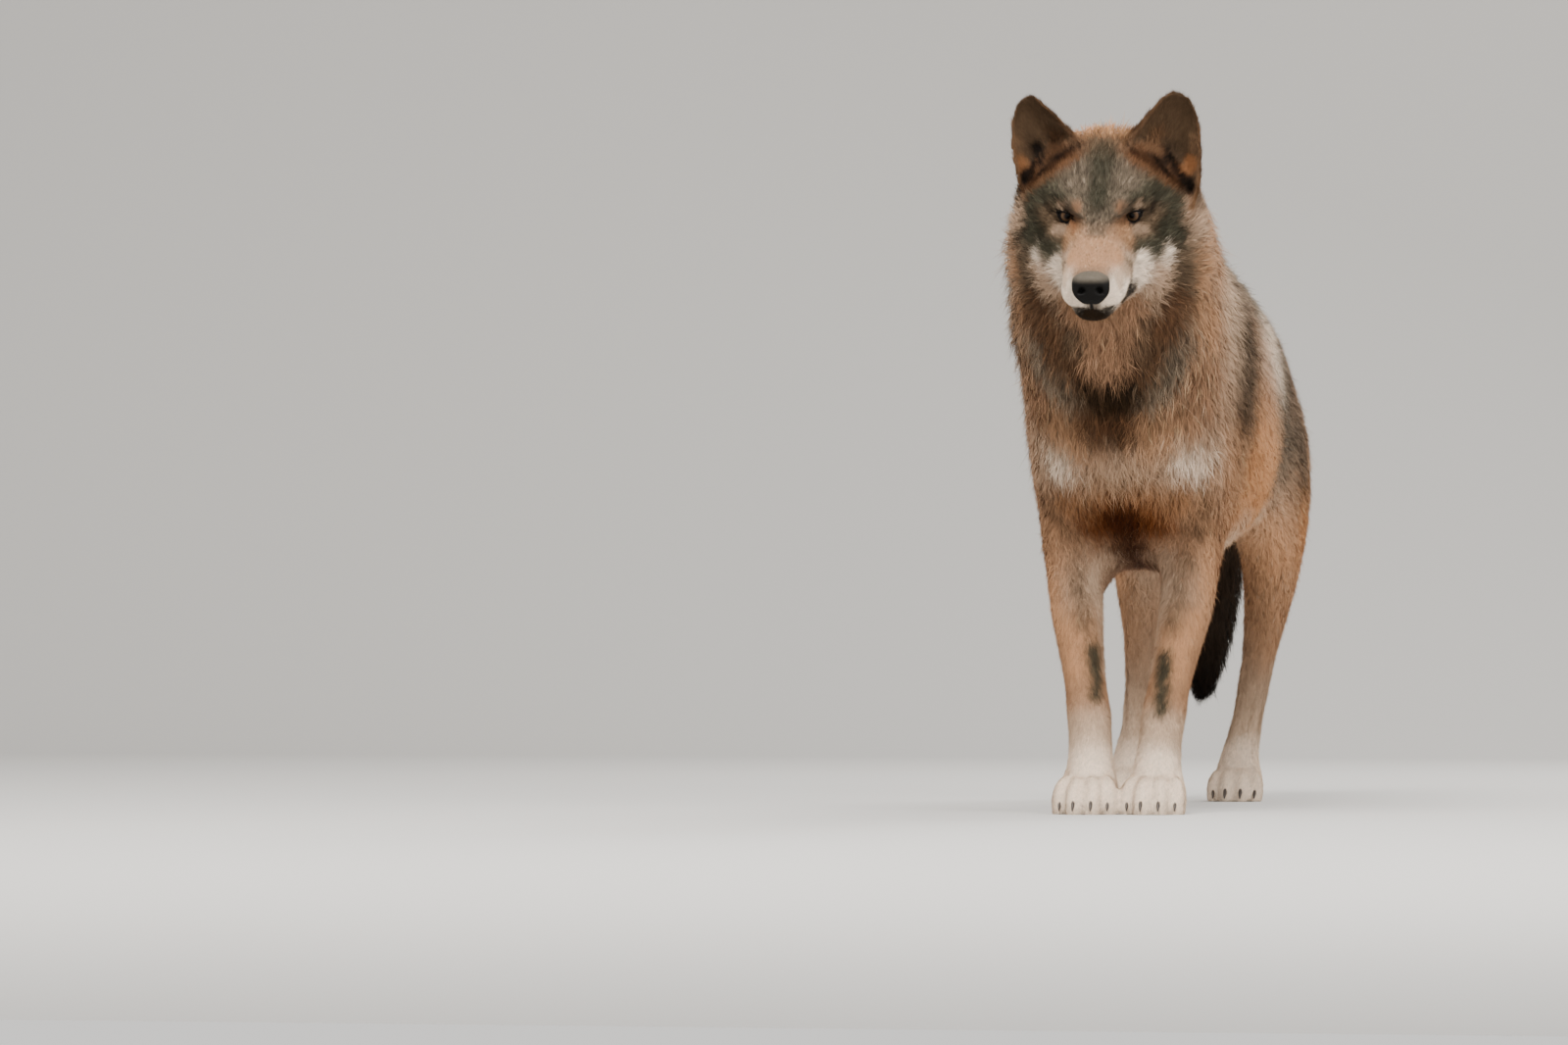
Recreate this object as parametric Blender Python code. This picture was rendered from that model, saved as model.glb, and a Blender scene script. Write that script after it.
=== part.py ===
"""A life-size grey wolf standing on all four feet, as a still museum model, cut into its named body parts.

Metres, +Z up. The wolf faces -Y and its left side is at +X. Every size is that of the coat's outline.
The whole body is lofted from slices and limbs, fused with a voxel remesh, and parted with thin saw cuts.
"""

import math

import bmesh
import bpy
import numpy as np
from mathutils import Matrix, Vector

# ---------------------------------------------------------------- driving sizes
GAP = 0.0004  # air between two parts that meet
RING_POINTS = 32
SUBSTEPS = 5  # rings from one station to the next
ZONE = {"ring_points": 14, "substeps": 2}  # coarser, for the cuts

HEAD_PITCH = math.radians(21.5)  # muzzle below the level
HEAD_YAW = math.radians(3.1)  # towards the wolf's left
EYES_MIDPOINT = Vector((0.0046, -0.245, 0.656))
EYE_BACK, EYE_UP, EYE_OUT = 0.138, 0.052, 0.0372  # front of the eye, from the nose tip
EYE_RADIUS = 0.0125
NOSE_DEPTH = 0.017

HIPS_SHIFT = 0.024  # the hips stand over the left hind foot
FORE_FEET = {"left": 0.034, "right": -0.041}
HIND_FEET = {"left": 0.050, "right": -0.082}
FORE_STEP = {"left": 0.000, "right": -0.006}
HIND_STEP = {"left": 0.000, "right": 0.012}
SIDES = {"left": 1, "right": -1}

BODY_VOXEL = 0.0036
BODY_TRIANGLES = 3780
EAR_THICKNESS = 0.0065
EAR_GAP = 0.0006
EAR_COLUMNS = 6
FLAT_ANGLE = math.radians(1.5)  # faces nearer to level than this are joined
NICK_PLACE, NICK_SIZE, NICK_TURN = (0.0655, 0.225, 0.163), (0.006, 0.05, 0.012), (0, 28, 0)


# ---------------------------------------------------------------- lofting tools
def smooth_rows(rows, substeps=SUBSTEPS):
    """Catmull-Rom rows through the given rows of numbers."""
    rows = np.array(rows, float)
    ends = np.vstack([2 * rows[0] - rows[1], rows, 2 * rows[-1] - rows[-2]])
    made = []
    for i in range(1, len(ends) - 2):
        before, here, there, after = ends[i - 1 : i + 3]
        for t in np.arange(substeps) / substeps:
            made.append(
                here
                + 0.5 * t * (there - before)
                + t * t * (before - 2.5 * here + 2 * there - 0.5 * after)
                + t**3 * (1.5 * (here - there) + 0.5 * (after - before))
            )
    made.append(rows[-1])
    return np.array(made)


def skin_rings(rings):
    """(points, faces) of a closed tube through the rings, with a point at each end."""
    count = len(rings[0])
    points = np.vstack([rings[0].mean(0), *rings, rings[-1].mean(0)])
    last = len(points) - 1
    faces = []
    for k in range(count):
        n = (k + 1) % count
        faces.append((0, 1 + n, 1 + k))
        for r in range(len(rings) - 1):
            low, high = 1 + r * count, 1 + (r + 1) * count
            faces.append((low + k, low + n, high + n, high + k))
        faces.append((last, last - count + k, last - count + n))
    return points, faces


def ring_shape(points, power):
    """How far across and along each point of a superellipse lies."""
    turn = np.arange(points) * 2 * math.pi / points
    return (
        np.sign(np.cos(turn)) * np.abs(np.cos(turn)) ** (2 / power),
        np.sign(np.sin(turn)) * np.abs(np.sin(turn)) ** (2 / power),
    )


def placed_tube(rings, place):
    points, faces = skin_rings(rings)
    if place is not None:
        points = np.array([place @ Vector(p) for p in points])
    return points, faces


def slices(rows, power=2.2, place=None, ring_points=RING_POINTS, substeps=SUBSTEPS):
    """A loft whose slices lie across the X axis.

    A row is (y, z of the upper edge, y, z of the lower edge, x, half width, height share of the widest level).
    """
    across, along = ring_shape(ring_points, power)
    rings = []
    for y1, z1, y2, z2, x, half, share in smooth_rows(rows, substeps):
        upper, lower = np.array([0, y1, z1]), np.array([0, y2, z2])
        middle = lower + (upper - lower) * share
        arm = np.where((along > 0)[:, None], upper - middle, middle - lower)
        ring = middle + along[:, None] * arm
        ring[:, 0] = x + across * half
        rings.append(ring)
    return placed_tube(rings, place)


def limb(rows, power=2.0, place=None, ring_points=RING_POINTS, substeps=SUBSTEPS):
    """A loft round a path. A row is (x, y, z, half width, half depth); its ring lies across the path."""
    rows = smooth_rows(rows, substeps)
    across, along = ring_shape(ring_points, power)
    rings = []
    for (x, y, z, half, depth), (_, dy, dz) in zip(rows, np.gradient(rows[:, :3], axis=0)):
        run = math.hypot(dy, dz) or 1.0
        arm = np.array([0, -dz, dy]) * depth / run
        rings.append(np.array([x, y, z]) + across[:, None] * [half, 0, 0] + along[:, None] * arm)
    return placed_tube(rings, place)


# ---------------------------------------------------------------- the wolf's form
def head_matrix():
    """Head frame to body frame: X to the wolf's left, Y back from the nose tip, Z up from the line of the lips."""
    turn = Matrix.Rotation(HEAD_YAW, 4, "Z") @ Matrix.Rotation(HEAD_PITCH, 4, "X")
    eyes = turn @ Vector((0, EYE_BACK, EYE_UP))
    return Matrix.Translation(EYES_MIDPOINT - eyes) @ turn


def trunk():
    return slices(
        [
            (-0.100, 0.500, -0.104, 0.420, 0.000, 0.030, 0.50),
            (-0.085, 0.560, -0.094, 0.385, 0.000, 0.070, 0.50),
            (-0.050, 0.612, -0.064, 0.342, 0.000, 0.100, 0.50),
            (0.010, 0.655, 0.000, 0.302, 0.000, 0.120, 0.52),
            (0.080, 0.675, 0.080, 0.276, 0.002, 0.129, 0.53),
            (0.180, 0.662, 0.180, 0.266, 0.005, 0.136, 0.55),
            (0.300, 0.640, 0.300, 0.274, 0.008, 0.134, 0.55),
            (0.420, 0.622, 0.410, 0.302, 0.014, 0.122, 0.54),
            (0.520, 0.614, 0.510, 0.338, 0.018, 0.106, 0.52),
            (0.600, 0.600, 0.600, 0.358, HIPS_SHIFT, 0.097, 0.52),
            (0.655, 0.576, 0.665, 0.390, HIPS_SHIFT, 0.082, 0.52),
            (0.695, 0.540, 0.702, 0.435, HIPS_SHIFT, 0.050, 0.52),
        ],
        power=2.35,
    )


def neck():
    return slices(
        [
            (0.140, 0.655, 0.060, 0.310, 0.003, 0.108, 0.56),
            (0.080, 0.685, -0.050, 0.340, 0.002, 0.118, 0.52),
            (0.020, 0.712, -0.112, 0.392, 0.001, 0.123, 0.48),
            (-0.040, 0.738, -0.156, 0.446, 0.001, 0.123, 0.46),
            (-0.085, 0.756, -0.180, 0.496, 0.002, 0.118, 0.46),
            (-0.128, 0.762, -0.196, 0.538, 0.003, 0.112, 0.46),
            (-0.168, 0.752, -0.206, 0.566, 0.004, 0.098, 0.48),
            (-0.190, 0.730, -0.214, 0.588, 0.004, 0.068, 0.50),
        ],
        power=2.15,
    )


def skull():
    """The cranium with its cheeks and the root of the muzzle, in the head frame."""
    return slices(
        [
            (0.085, 0.040, 0.085, -0.020, 0, 0.024, 0.50),
            (0.104, 0.050, 0.110, -0.030, 0, 0.036, 0.48),
            (0.122, 0.062, 0.132, -0.040, 0, 0.050, 0.46),
            (0.138, 0.078, 0.152, -0.048, 0, 0.066, 0.44),
            (0.156, 0.093, 0.174, -0.056, 0, 0.084, 0.43),
            (0.178, 0.105, 0.194, -0.062, 0, 0.096, 0.43),
            (0.204, 0.116, 0.214, -0.066, 0, 0.103, 0.43),
            (0.232, 0.123, 0.236, -0.068, 0, 0.104, 0.43),
            (0.262, 0.116, 0.260, -0.060, 0, 0.094, 0.44),
            (0.284, 0.070, 0.280, -0.030, 0, 0.045, 0.50),
        ],
        power=2.15,
        place=head_matrix(),
    )


def muzzle():
    """Nose, upper lips and bridge, in the head frame."""
    return slices(
        [
            (0.0015, 0.0220, 0.0020, 0.0020, 0, 0.0140, 0.60),
            (0.0050, 0.0275, 0.0060, -0.0060, 0, 0.0205, 0.56),
            (0.0140, 0.0305, 0.0120, -0.0130, 0, 0.0270, 0.48),
            (0.0280, 0.0325, 0.0240, -0.0170, 0, 0.0320, 0.42),
            (0.0480, 0.0360, 0.0450, -0.0195, 0, 0.0350, 0.40),
            (0.0750, 0.0420, 0.0700, -0.0225, 0, 0.0362, 0.40),
            (0.1000, 0.0500, 0.0950, -0.0260, 0, 0.0400, 0.40),
            (0.1250, 0.0610, 0.1200, -0.0320, 0, 0.0450, 0.40),
            (0.1550, 0.0720, 0.1500, -0.0400, 0, 0.0480, 0.45),
        ],
        power=2.4,
        place=head_matrix(),
    )


def jaw():
    """Chin and lower jaw, in the head frame."""
    return slices(
        [
            (0.0140, -0.0120, 0.0160, -0.0220, 0, 0.0110, 0.60),
            (0.0190, -0.0060, 0.0220, -0.0290, 0, 0.0190, 0.60),
            (0.0380, 0.0000, 0.0420, -0.0335, 0, 0.0250, 0.60),
            (0.0700, 0.0000, 0.0750, -0.0370, 0, 0.0310, 0.60),
            (0.1050, 0.0000, 0.1100, -0.0430, 0, 0.0410, 0.60),
            (0.1400, 0.0000, 0.1500, -0.0520, 0, 0.0530, 0.60),
            (0.1800, 0.0000, 0.1900, -0.0580, 0, 0.0620, 0.60),
        ],
        power=2.2,
        place=head_matrix(),
    )


def cheek(side):
    """The cheek's ruff below and behind the eye, in the head frame."""
    s = SIDES[side]
    return limb(
        [
            (s * 0.034, 0.098, 0.008, 0.005, 0.008),
            (s * 0.038, 0.114, 0.006, 0.013, 0.020),
            (s * 0.045, 0.134, 0.004, 0.023, 0.034),
            (s * 0.054, 0.158, -0.001, 0.034, 0.050),
            (s * 0.062, 0.188, -0.006, 0.042, 0.064),
            (s * 0.066, 0.220, -0.006, 0.045, 0.072),
            (s * 0.064, 0.255, -0.004, 0.040, 0.066),
            (s * 0.058, 0.280, 0.000, 0.024, 0.040),
        ],
        place=head_matrix(),
    )


def ear_root(side):
    """The bulge that carries the ear, in the head frame."""
    s = SIDES[side]
    return limb(
        [
            (s * 0.030, 0.224, 0.112, 0.008, 0.012),
            (s * 0.048, 0.225, 0.103, 0.014, 0.019),
            (s * 0.068, 0.224, 0.084, 0.016, 0.023),
            (s * 0.083, 0.222, 0.058, 0.016, 0.024),
            (s * 0.089, 0.222, 0.030, 0.013, 0.024),
            (s * 0.088, 0.224, 0.005, 0.007, 0.014),
        ],
        power=2.0,
        place=head_matrix(),
    )


def brow(side):
    """The ridge over the eye, in the head frame."""
    s = SIDES[side]
    return limb(
        [
            (s * 0.014, 0.116, 0.055, 0.008, 0.006),
            (s * 0.026, 0.133, 0.065, 0.012, 0.009),
            (s * 0.039, 0.148, 0.071, 0.014, 0.010),
            (s * 0.053, 0.162, 0.072, 0.012, 0.010),
            (s * 0.064, 0.177, 0.068, 0.009, 0.008),
        ],
        place=head_matrix(),
    )


def shoulder(side):
    s = SIDES[side]
    return limb(
        [
            (s * 0.056, 0.120, 0.612, 0.030, 0.040),
            (s * 0.082, 0.095, 0.560, 0.048, 0.082),
            (s * 0.088, 0.062, 0.490, 0.046, 0.096),
            (s * 0.085, 0.046, 0.425, 0.043, 0.092),
            (s * 0.078, 0.056, 0.365, 0.038, 0.074),
            (s * 0.072, 0.064, 0.320, 0.034, 0.056),
        ]
    )


def foreleg(side):
    s, x, y = SIDES[side], FORE_FEET[side], FORE_STEP[side]
    elbow = s * 0.074
    return limb(
        [
            (elbow, 0.050, 0.400, 0.040, 0.066),
            (elbow, 0.060, 0.340, 0.037, 0.058),
            (elbow - s * 0.002, 0.060, 0.300, 0.0345, 0.050),
            (0.25 * x + 0.75 * s * 0.074, 0.050 + 0.3 * y, 0.250, 0.0325, 0.037),
            (0.45 * x + 0.55 * s * 0.072, 0.034 + 0.5 * y, 0.195, 0.0272, 0.0285),
            (0.70 * x + 0.30 * s * 0.072, 0.024 + 0.7 * y, 0.148, 0.0238, 0.0245),
            (0.85 * x + 0.15 * s * 0.070, 0.019 + 0.9 * y, 0.112, 0.0252, 0.0262),
            (0.95 * x + 0.05 * s * 0.070, 0.012 + y, 0.080, 0.0245, 0.0235),
            (x, 0.004 + y, 0.052, 0.0268, 0.0240),
            (x, -0.004 + y, 0.032, 0.0320, 0.0290),
            (x, -0.006 + y, 0.014, 0.0335, 0.0310),
            (x, -0.004 + y, -0.004, 0.0300, 0.0280),
        ],
        power=2.15,
    )


def thigh(side):
    s = SIDES[side]
    x = HIPS_SHIFT + s * 0.062
    return limb(
        [
            (HIPS_SHIFT + s * 0.044, 0.585, 0.548, 0.024, 0.050),
            (x - s * 0.004, 0.588, 0.510, 0.038, 0.090),
            (x + s * 0.008, 0.580, 0.455, 0.046, 0.116),
            (x + s * 0.015, 0.560, 0.395, 0.048, 0.110),
            (x + s * 0.020, 0.542, 0.340, 0.045, 0.088),
            (x + s * 0.020, 0.545, 0.295, 0.038, 0.062),
            (x + s * 0.018, 0.552, 0.262, 0.024, 0.036),
        ]
    )


def hindleg(side):
    s, foot, y = SIDES[side], HIND_FEET[side], HIND_STEP[side]
    top = HIPS_SHIFT + s * 0.080

    def between(share):
        return foot + (top - foot) * share

    return limb(
        [
            (top, 0.540, 0.390, 0.042, 0.085),
            (top, 0.520, 0.335, 0.043, 0.080),
            (between(0.94), 0.530 + 0.2 * y, 0.285, 0.038, 0.063),
            (between(0.76), 0.573 + 0.5 * y, 0.235, 0.0305, 0.046),
            (between(0.54), 0.612 + 0.8 * y, 0.192, 0.0245, 0.034),
            (between(0.36), 0.634 + y, 0.158, 0.0234, 0.0300),
            (between(0.20), 0.636 + y, 0.120, 0.0208, 0.0240),
            (between(0.08), 0.630 + y, 0.082, 0.0202, 0.0215),
            (foot, 0.620 + y, 0.052, 0.0232, 0.0225),
            (foot, 0.608 + y, 0.030, 0.0285, 0.0280),
            (foot, 0.603 + y, 0.013, 0.0300, 0.0290),
            (foot, 0.604 + y, -0.004, 0.0270, 0.0260),
        ],
        power=2.1,
    )


def toes(x, y, size):
    """The four toes of a foot whose pad is centred at x, y. The two middle toes reach further forward."""
    made = []
    for k, (out, reach) in enumerate(((-0.0265, 0.042), (-0.0098, 0.056), (0.0098, 0.056), (0.0265, 0.042))):
        reach, out = reach * size, out * size
        root, tip = 0.45 * out, out
        made.append(
            limb(
                [
                    (x + root, y + 0.000, 0.040 * size, 0.0085 * size, 0.0080 * size),
                    (x + 0.6 * (root + tip), y - 0.55 * reach, 0.033 * size, 0.0102 * size, 0.0100 * size),
                    (x + tip, y - 0.80 * reach, 0.021 * size, 0.0110 * size, 0.0120 * size),
                    (x + tip * 1.02, y - 0.93 * reach, 0.009 * size, 0.0102 * size, 0.0110 * size),
                    (x + tip * 1.02, y - 0.90 * reach, -0.003, 0.0080 * size, 0.0080 * size),
                ]
            )
        )
    return made


def claws(x, y, size):
    """The four claws of a foot whose pad is centred at x, y."""
    made = []
    for out, reach in ((-0.0270, 0.040), (-0.0100, 0.054), (0.0100, 0.054), (0.0270, 0.040)):
        out, root = x + out * size, y - reach * size
        made.append(
            limb(
                [
                    (out, root + 0.004, 0.0140 * size, 0.0020, 0.0026),
                    (out, root - 0.005, 0.0125 * size, 0.0024, 0.0032),
                    (out, root - 0.010, 0.0085 * size, 0.0018, 0.0024),
                    (out, root - 0.013, 0.0045 * size, 0.0007, 0.0009),
                ],
                ring_points=6,
                substeps=1,
            )
        )
    return made


def tail():
    return limb(
        [
            (HIPS_SHIFT, 0.640, 0.560, 0.030, 0.030),
            (HIPS_SHIFT, 0.690, 0.535, 0.037, 0.036),
            (HIPS_SHIFT - 0.004, 0.728, 0.485, 0.044, 0.040),
            (HIPS_SHIFT - 0.012, 0.748, 0.415, 0.050, 0.046),
            (HIPS_SHIFT - 0.022, 0.755, 0.340, 0.054, 0.050),
            (HIPS_SHIFT - 0.030, 0.754, 0.260, 0.052, 0.048),
            (HIPS_SHIFT - 0.034, 0.748, 0.185, 0.042, 0.038),
            (HIPS_SHIFT - 0.036, 0.742, 0.130, 0.026, 0.024),
            (HIPS_SHIFT - 0.037, 0.738, 0.095, 0.008, 0.008),
        ]
    )


def wolf_lofts():
    """Every loft of the body without the ears, as (points, faces)."""
    lofts = [trunk(), neck(), skull(), muzzle(), jaw(), tail()]
    for side in SIDES:
        lofts += [cheek(side), brow(side), ear_root(side), shoulder(side), foreleg(side), thigh(side), hindleg(side)]
        lofts += toes(FORE_FEET[side], -0.004 + FORE_STEP[side], 1.0)
        lofts += toes(HIND_FEET[side], 0.606 + HIND_STEP[side], 0.92)
    return lofts


# The ears, in the head frame: (out, back, up) of the outer edge, the same of the inner edge, depth of the cup.
EAR_ROWS = {
    "right": [
        ((-0.084, 0.186, 0.048), (-0.014, 0.196, 0.092), 0.026),
        ((-0.094, 0.190, 0.071), (-0.021, 0.200, 0.112), 0.030),
        ((-0.099, 0.198, 0.097), (-0.033, 0.206, 0.126), 0.029),
        ((-0.102, 0.207, 0.118), (-0.047, 0.213, 0.139), 0.023),
        ((-0.101, 0.215, 0.134), (-0.059, 0.219, 0.149), 0.016),
        ((-0.097, 0.220, 0.149), (-0.070, 0.223, 0.158), 0.009),
        ((-0.090, 0.223, 0.159), (-0.078, 0.225, 0.163), 0.004),
    ],
    "left": [
        ((0.094, 0.184, 0.036), (0.016, 0.196, 0.098), 0.026),
        ((0.105, 0.188, 0.058), (0.024, 0.200, 0.119), 0.030),
        ((0.108, 0.198, 0.084), (0.036, 0.206, 0.132), 0.029),
        ((0.108, 0.207, 0.109), (0.047, 0.213, 0.143), 0.023),
        ((0.106, 0.215, 0.130), (0.057, 0.219, 0.153), 0.016),
        ((0.100, 0.221, 0.148), (0.066, 0.223, 0.160), 0.009),
        ((0.092, 0.224, 0.160), (0.076, 0.225, 0.166), 0.004),
    ],
}

def ear_shell(side, offset=0.0):
    """Rows of points over the inner face of an ear, moved back by offset, in the body frame."""
    flat = [(*outer, *inner, depth) for outer, inner, depth in EAR_ROWS[side]]
    rows, head = smooth_rows(flat, 2), head_matrix()
    shell = []
    for row in rows:
        outer, inner, depth = Vector(row[:3]), Vector(row[3:6]), row[6]
        line = []
        for c in range(EAR_COLUMNS + 1):
            t = c / EAR_COLUMNS
            cup = depth * math.sin(math.pi * t) ** 0.8
            edge = offset * (0.35 + 0.65 * math.sin(math.pi * t) ** 0.5)
            line.append(head @ (outer.lerp(inner, t) + Vector((0, cup + edge, -0.15 * cup))))
        shell.append(line)
    return shell


def ear(side):
    """A cupped ear as (points, faces): its front and back walls joined round the edge."""
    front, back = ear_shell(side), ear_shell(side, EAR_THICKNESS)
    rows, columns = len(front), EAR_COLUMNS + 1
    points = [p for wall in (front, back) for line in wall for p in line]

    def at(wall, r, c):
        return wall * rows * columns + r * columns + c

    faces = []
    for r in range(rows - 1):
        for c in range(columns - 1):
            faces.append((at(0, r, c), at(0, r, c + 1), at(0, r + 1, c + 1), at(0, r + 1, c)))
            faces.append((at(1, r, c), at(1, r + 1, c), at(1, r + 1, c + 1), at(1, r, c + 1)))
        for c in (0, columns - 1):
            faces.append((at(0, r, c), at(0, r + 1, c), at(1, r + 1, c), at(1, r, c)))
    for r in (0, rows - 1):
        for c in range(columns - 1):
            faces.append((at(0, r, c), at(0, r, c + 1), at(1, r, c + 1), at(1, r, c)))
    return np.array([tuple(p) for p in points]), faces


# ---------------------------------------------------------------- objects
def material(name, colour, roughness=0.8):
    made = bpy.data.materials.new(name)
    made.use_nodes = True
    shader = made.node_tree.nodes["Principled BSDF"]
    shader.inputs["Base Color"].default_value = (*colour, 1)
    shader.inputs["Roughness"].default_value = roughness
    return made


def add(name, points, faces):
    mesh = bpy.data.meshes.new(name)
    mesh.from_pydata([tuple(p) for p in points], [], faces)
    shape = bmesh.new()
    shape.from_mesh(mesh)
    bmesh.ops.recalc_face_normals(shape, faces=shape.faces)
    shape.to_mesh(mesh)
    shape.free()
    obj = bpy.data.objects.new(name, mesh)
    bpy.context.scene.collection.objects.link(obj)
    return obj


def merged(lofts):
    """One list of points and one of faces from several lofts."""
    points, faces, start = [], [], 0
    for p, f in lofts:
        points.append(p)
        faces += [tuple(start + i for i in face) for face in f]
        start += len(p)
    return np.vstack(points), faces


def applied(obj):
    """Applies the modifiers of obj."""
    graph = bpy.context.evaluated_depsgraph_get()
    mesh = bpy.data.meshes.new_from_object(obj.evaluated_get(graph))
    obj.modifiers.clear()
    obj.data = mesh
    return obj


def boolean(obj, other, operation):
    cut = obj.modifiers.new(operation.title(), "BOOLEAN")
    cut.operation = operation
    cut.object = other
    cut.solver = "EXACT"
    applied(obj)
    return obj


def box(name, centre, size, turn=(0, 0, 0)):
    """A box as a mesh object, turned about its centre by Euler angles in degrees."""
    mesh = bpy.data.meshes.new(name)
    shape = bmesh.new()
    bmesh.ops.create_cube(shape, size=1)
    bmesh.ops.scale(shape, vec=size, verts=shape.verts)
    shape.to_mesh(mesh)
    shape.free()
    obj = bpy.data.objects.new(name, mesh)
    bpy.context.scene.collection.objects.link(obj)
    x, y, z = (math.radians(a) for a in turn)
    turned = Matrix.Rotation(z, 4, "Z") @ Matrix.Rotation(y, 4, "Y") @ Matrix.Rotation(x, 4, "X")
    mesh.transform(Matrix.Translation(centre) @ turned)
    return obj


def remove(*objects):
    for obj in objects:
        bpy.data.objects.remove(obj)


def fused_body():
    """The whole body as one faceted solid standing on flat soles at z = 0."""
    body = add("body", *merged(wolf_lofts()))
    fuse = body.modifiers.new("Fuse", "REMESH")
    fuse.mode = "VOXEL"
    fuse.voxel_size = BODY_VOXEL
    even = body.modifiers.new("Even", "SMOOTH")
    even.factor, even.iterations = 0.5, 10
    applied(body)
    for s in SIDES.values():
        dent(body, (s * 0.037, 0.125, 0.049), (0.016, 0.030, 0.010), 0.014, head_matrix())
    weights, to_head = body.vertex_groups.new(name="thin"), head_matrix().inverted()
    for v in body.data.vertices:
        face = (to_head @ v.co).y < 0.23
        weights.add([v.index], 0.72 if face else 0.8 if v.co.z < 0.05 else 1.0, "REPLACE")
    thin = body.modifiers.new("Thin", "DECIMATE")
    thin.ratio = BODY_TRIANGLES / (2 * len(body.data.polygons))
    thin.use_collapse_triangulate = True
    thin.vertex_group = "thin"
    applied(body)
    floor = box("floor", (0, 0.2, -0.25), (2, 3, 0.5))
    boolean(body, floor, "DIFFERENCE")
    between_paws = (FORE_FEET["left"] + FORE_FEET["right"]) / 2
    saw = box("saw", (between_paws, -0.01, 0.03), (GAP, 0.2, 0.12))
    boolean(body, saw, "DIFFERENCE")
    remove(floor, saw)
    return body


# ---------------------------------------------------------------- where the body parts meet
def zone_lofts():
    """A closed loft round each part, in the order they are cut from the body. What is left is the trunk."""
    head, x = head_matrix(), HIPS_SHIFT
    zones = {
        "nose": slices(
            [
                (-0.010, 0.045, -0.010, 0.0000, 0, 0.040, 0.5),
                (0.000, 0.045, 0.002, -0.0010, 0, 0.035, 0.5),
                (0.012, 0.045, 0.006, -0.0020, 0, 0.028, 0.5),
                (0.016, 0.045, 0.010, -0.0005, 0, 0.024, 0.5),
            ],
            power=3,
            place=head,
            **ZONE,
        ),
        "head": slices(
            [
                (-0.420, 0.700, -0.420, 0.480, 0.01, 0.10, 0.5),
                (-0.300, 0.850, -0.300, 0.490, 0.01, 0.20, 0.5),
                (-0.140, 0.870, -0.205, 0.510, 0.00, 0.20, 0.5),
                (-0.102, 0.850, -0.176, 0.500, 0.00, 0.19, 0.5),
                (-0.092, 0.810, -0.150, 0.530, 0.00, 0.16, 0.5),
            ],
            power=4,
            **ZONE,
        ),
        "neck": slices(
            [
                (-0.300, 0.900, -0.400, 0.500, 0.00, 0.24, 0.5),
                (-0.100, 0.880, -0.280, 0.360, 0.00, 0.23, 0.5),
                (0.040, 0.780, -0.130, 0.290, 0.00, 0.21, 0.5),
                (0.078, 0.730, -0.080, 0.300, 0.00, 0.19, 0.5),
            ],
            power=4,
            **ZONE,
        ),
        "tail": limb(
            [
                (x, 0.672, 0.546, 0.030, 0.034),
                (x, 0.684, 0.540, 0.060, 0.064),
                (x, 0.735, 0.500, 0.085, 0.080),
                (x - 0.010, 0.760, 0.400, 0.100, 0.085),
                (x - 0.020, 0.770, 0.200, 0.100, 0.085),
                (x - 0.020, 0.770, 0.050, 0.080, 0.080),
            ],
            **ZONE,
        ),
    }
    between_paws = (FORE_FEET["left"] + FORE_FEET["right"]) / 2
    for side, s in SIDES.items():
        foot, hind, inner = FORE_FEET[side], HIND_FEET[side], between_paws + s * 0.048
        zones["fore_paw_" + side] = limb(
            [
                (inner, 0.006, 0.094, 0.048, 0.060),
                (inner, 0.004, 0.086, 0.048, 0.066),
                (inner, -0.010, 0.050, 0.048, 0.090),
                (inner, -0.015, -0.030, 0.048, 0.090),
            ],
            power=8,
            **ZONE,
        )
        zones["hind_paw_" + side] = limb(
            [
                (hind, 0.634, 0.100, 0.060, 0.055),
                (hind, 0.632, 0.092, 0.062, 0.060),
                (hind, 0.615, 0.050, 0.062, 0.085),
                (hind, 0.605, -0.030, 0.062, 0.085),
            ],
            **ZONE,
        )
        zones["fore_leg_" + side] = limb(
            [
                (s * 0.110, 0.075, 0.445, 0.030, 0.050),
                (s * 0.108, 0.070, 0.415, 0.048, 0.078),
                (s * 0.098, 0.066, 0.340, 0.056, 0.082),
                (s * 0.084, 0.056, 0.270, 0.056, 0.076),
                (s * 0.070, 0.044, 0.200, 0.052, 0.066),
                (foot + s * 0.012, 0.022, 0.110, 0.050, 0.056),
                (foot + s * 0.008, 0.014, 0.070, 0.046, 0.050),
            ],
            **ZONE,
        )
        zones["hind_leg_" + side] = limb(
            [
                (x + s * 0.104, 0.592, 0.530, 0.040, 0.060),
                (x + s * 0.102, 0.590, 0.500, 0.055, 0.095),
                (x + s * 0.096, 0.580, 0.430, 0.064, 0.124),
                (x + s * 0.086, 0.565, 0.350, 0.066, 0.124),
                (x + s * 0.074, 0.575, 0.280, 0.062, 0.100),
                (x + s * 0.062, 0.610, 0.200, 0.056, 0.075),
                (hind + s * 0.004, 0.632, 0.110, 0.050, 0.055),
                (hind + s * 0.002, 0.630, 0.070, 0.048, 0.050),
            ],
            **ZONE,
        )
    order = ["nose", "head", "neck", "tail"]
    for kind in ("fore_paw_", "fore_leg_", "hind_paw_", "hind_leg_"):
        order += [kind + side for side in SIDES]
    return {name: zones[name] for name in order}


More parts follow.
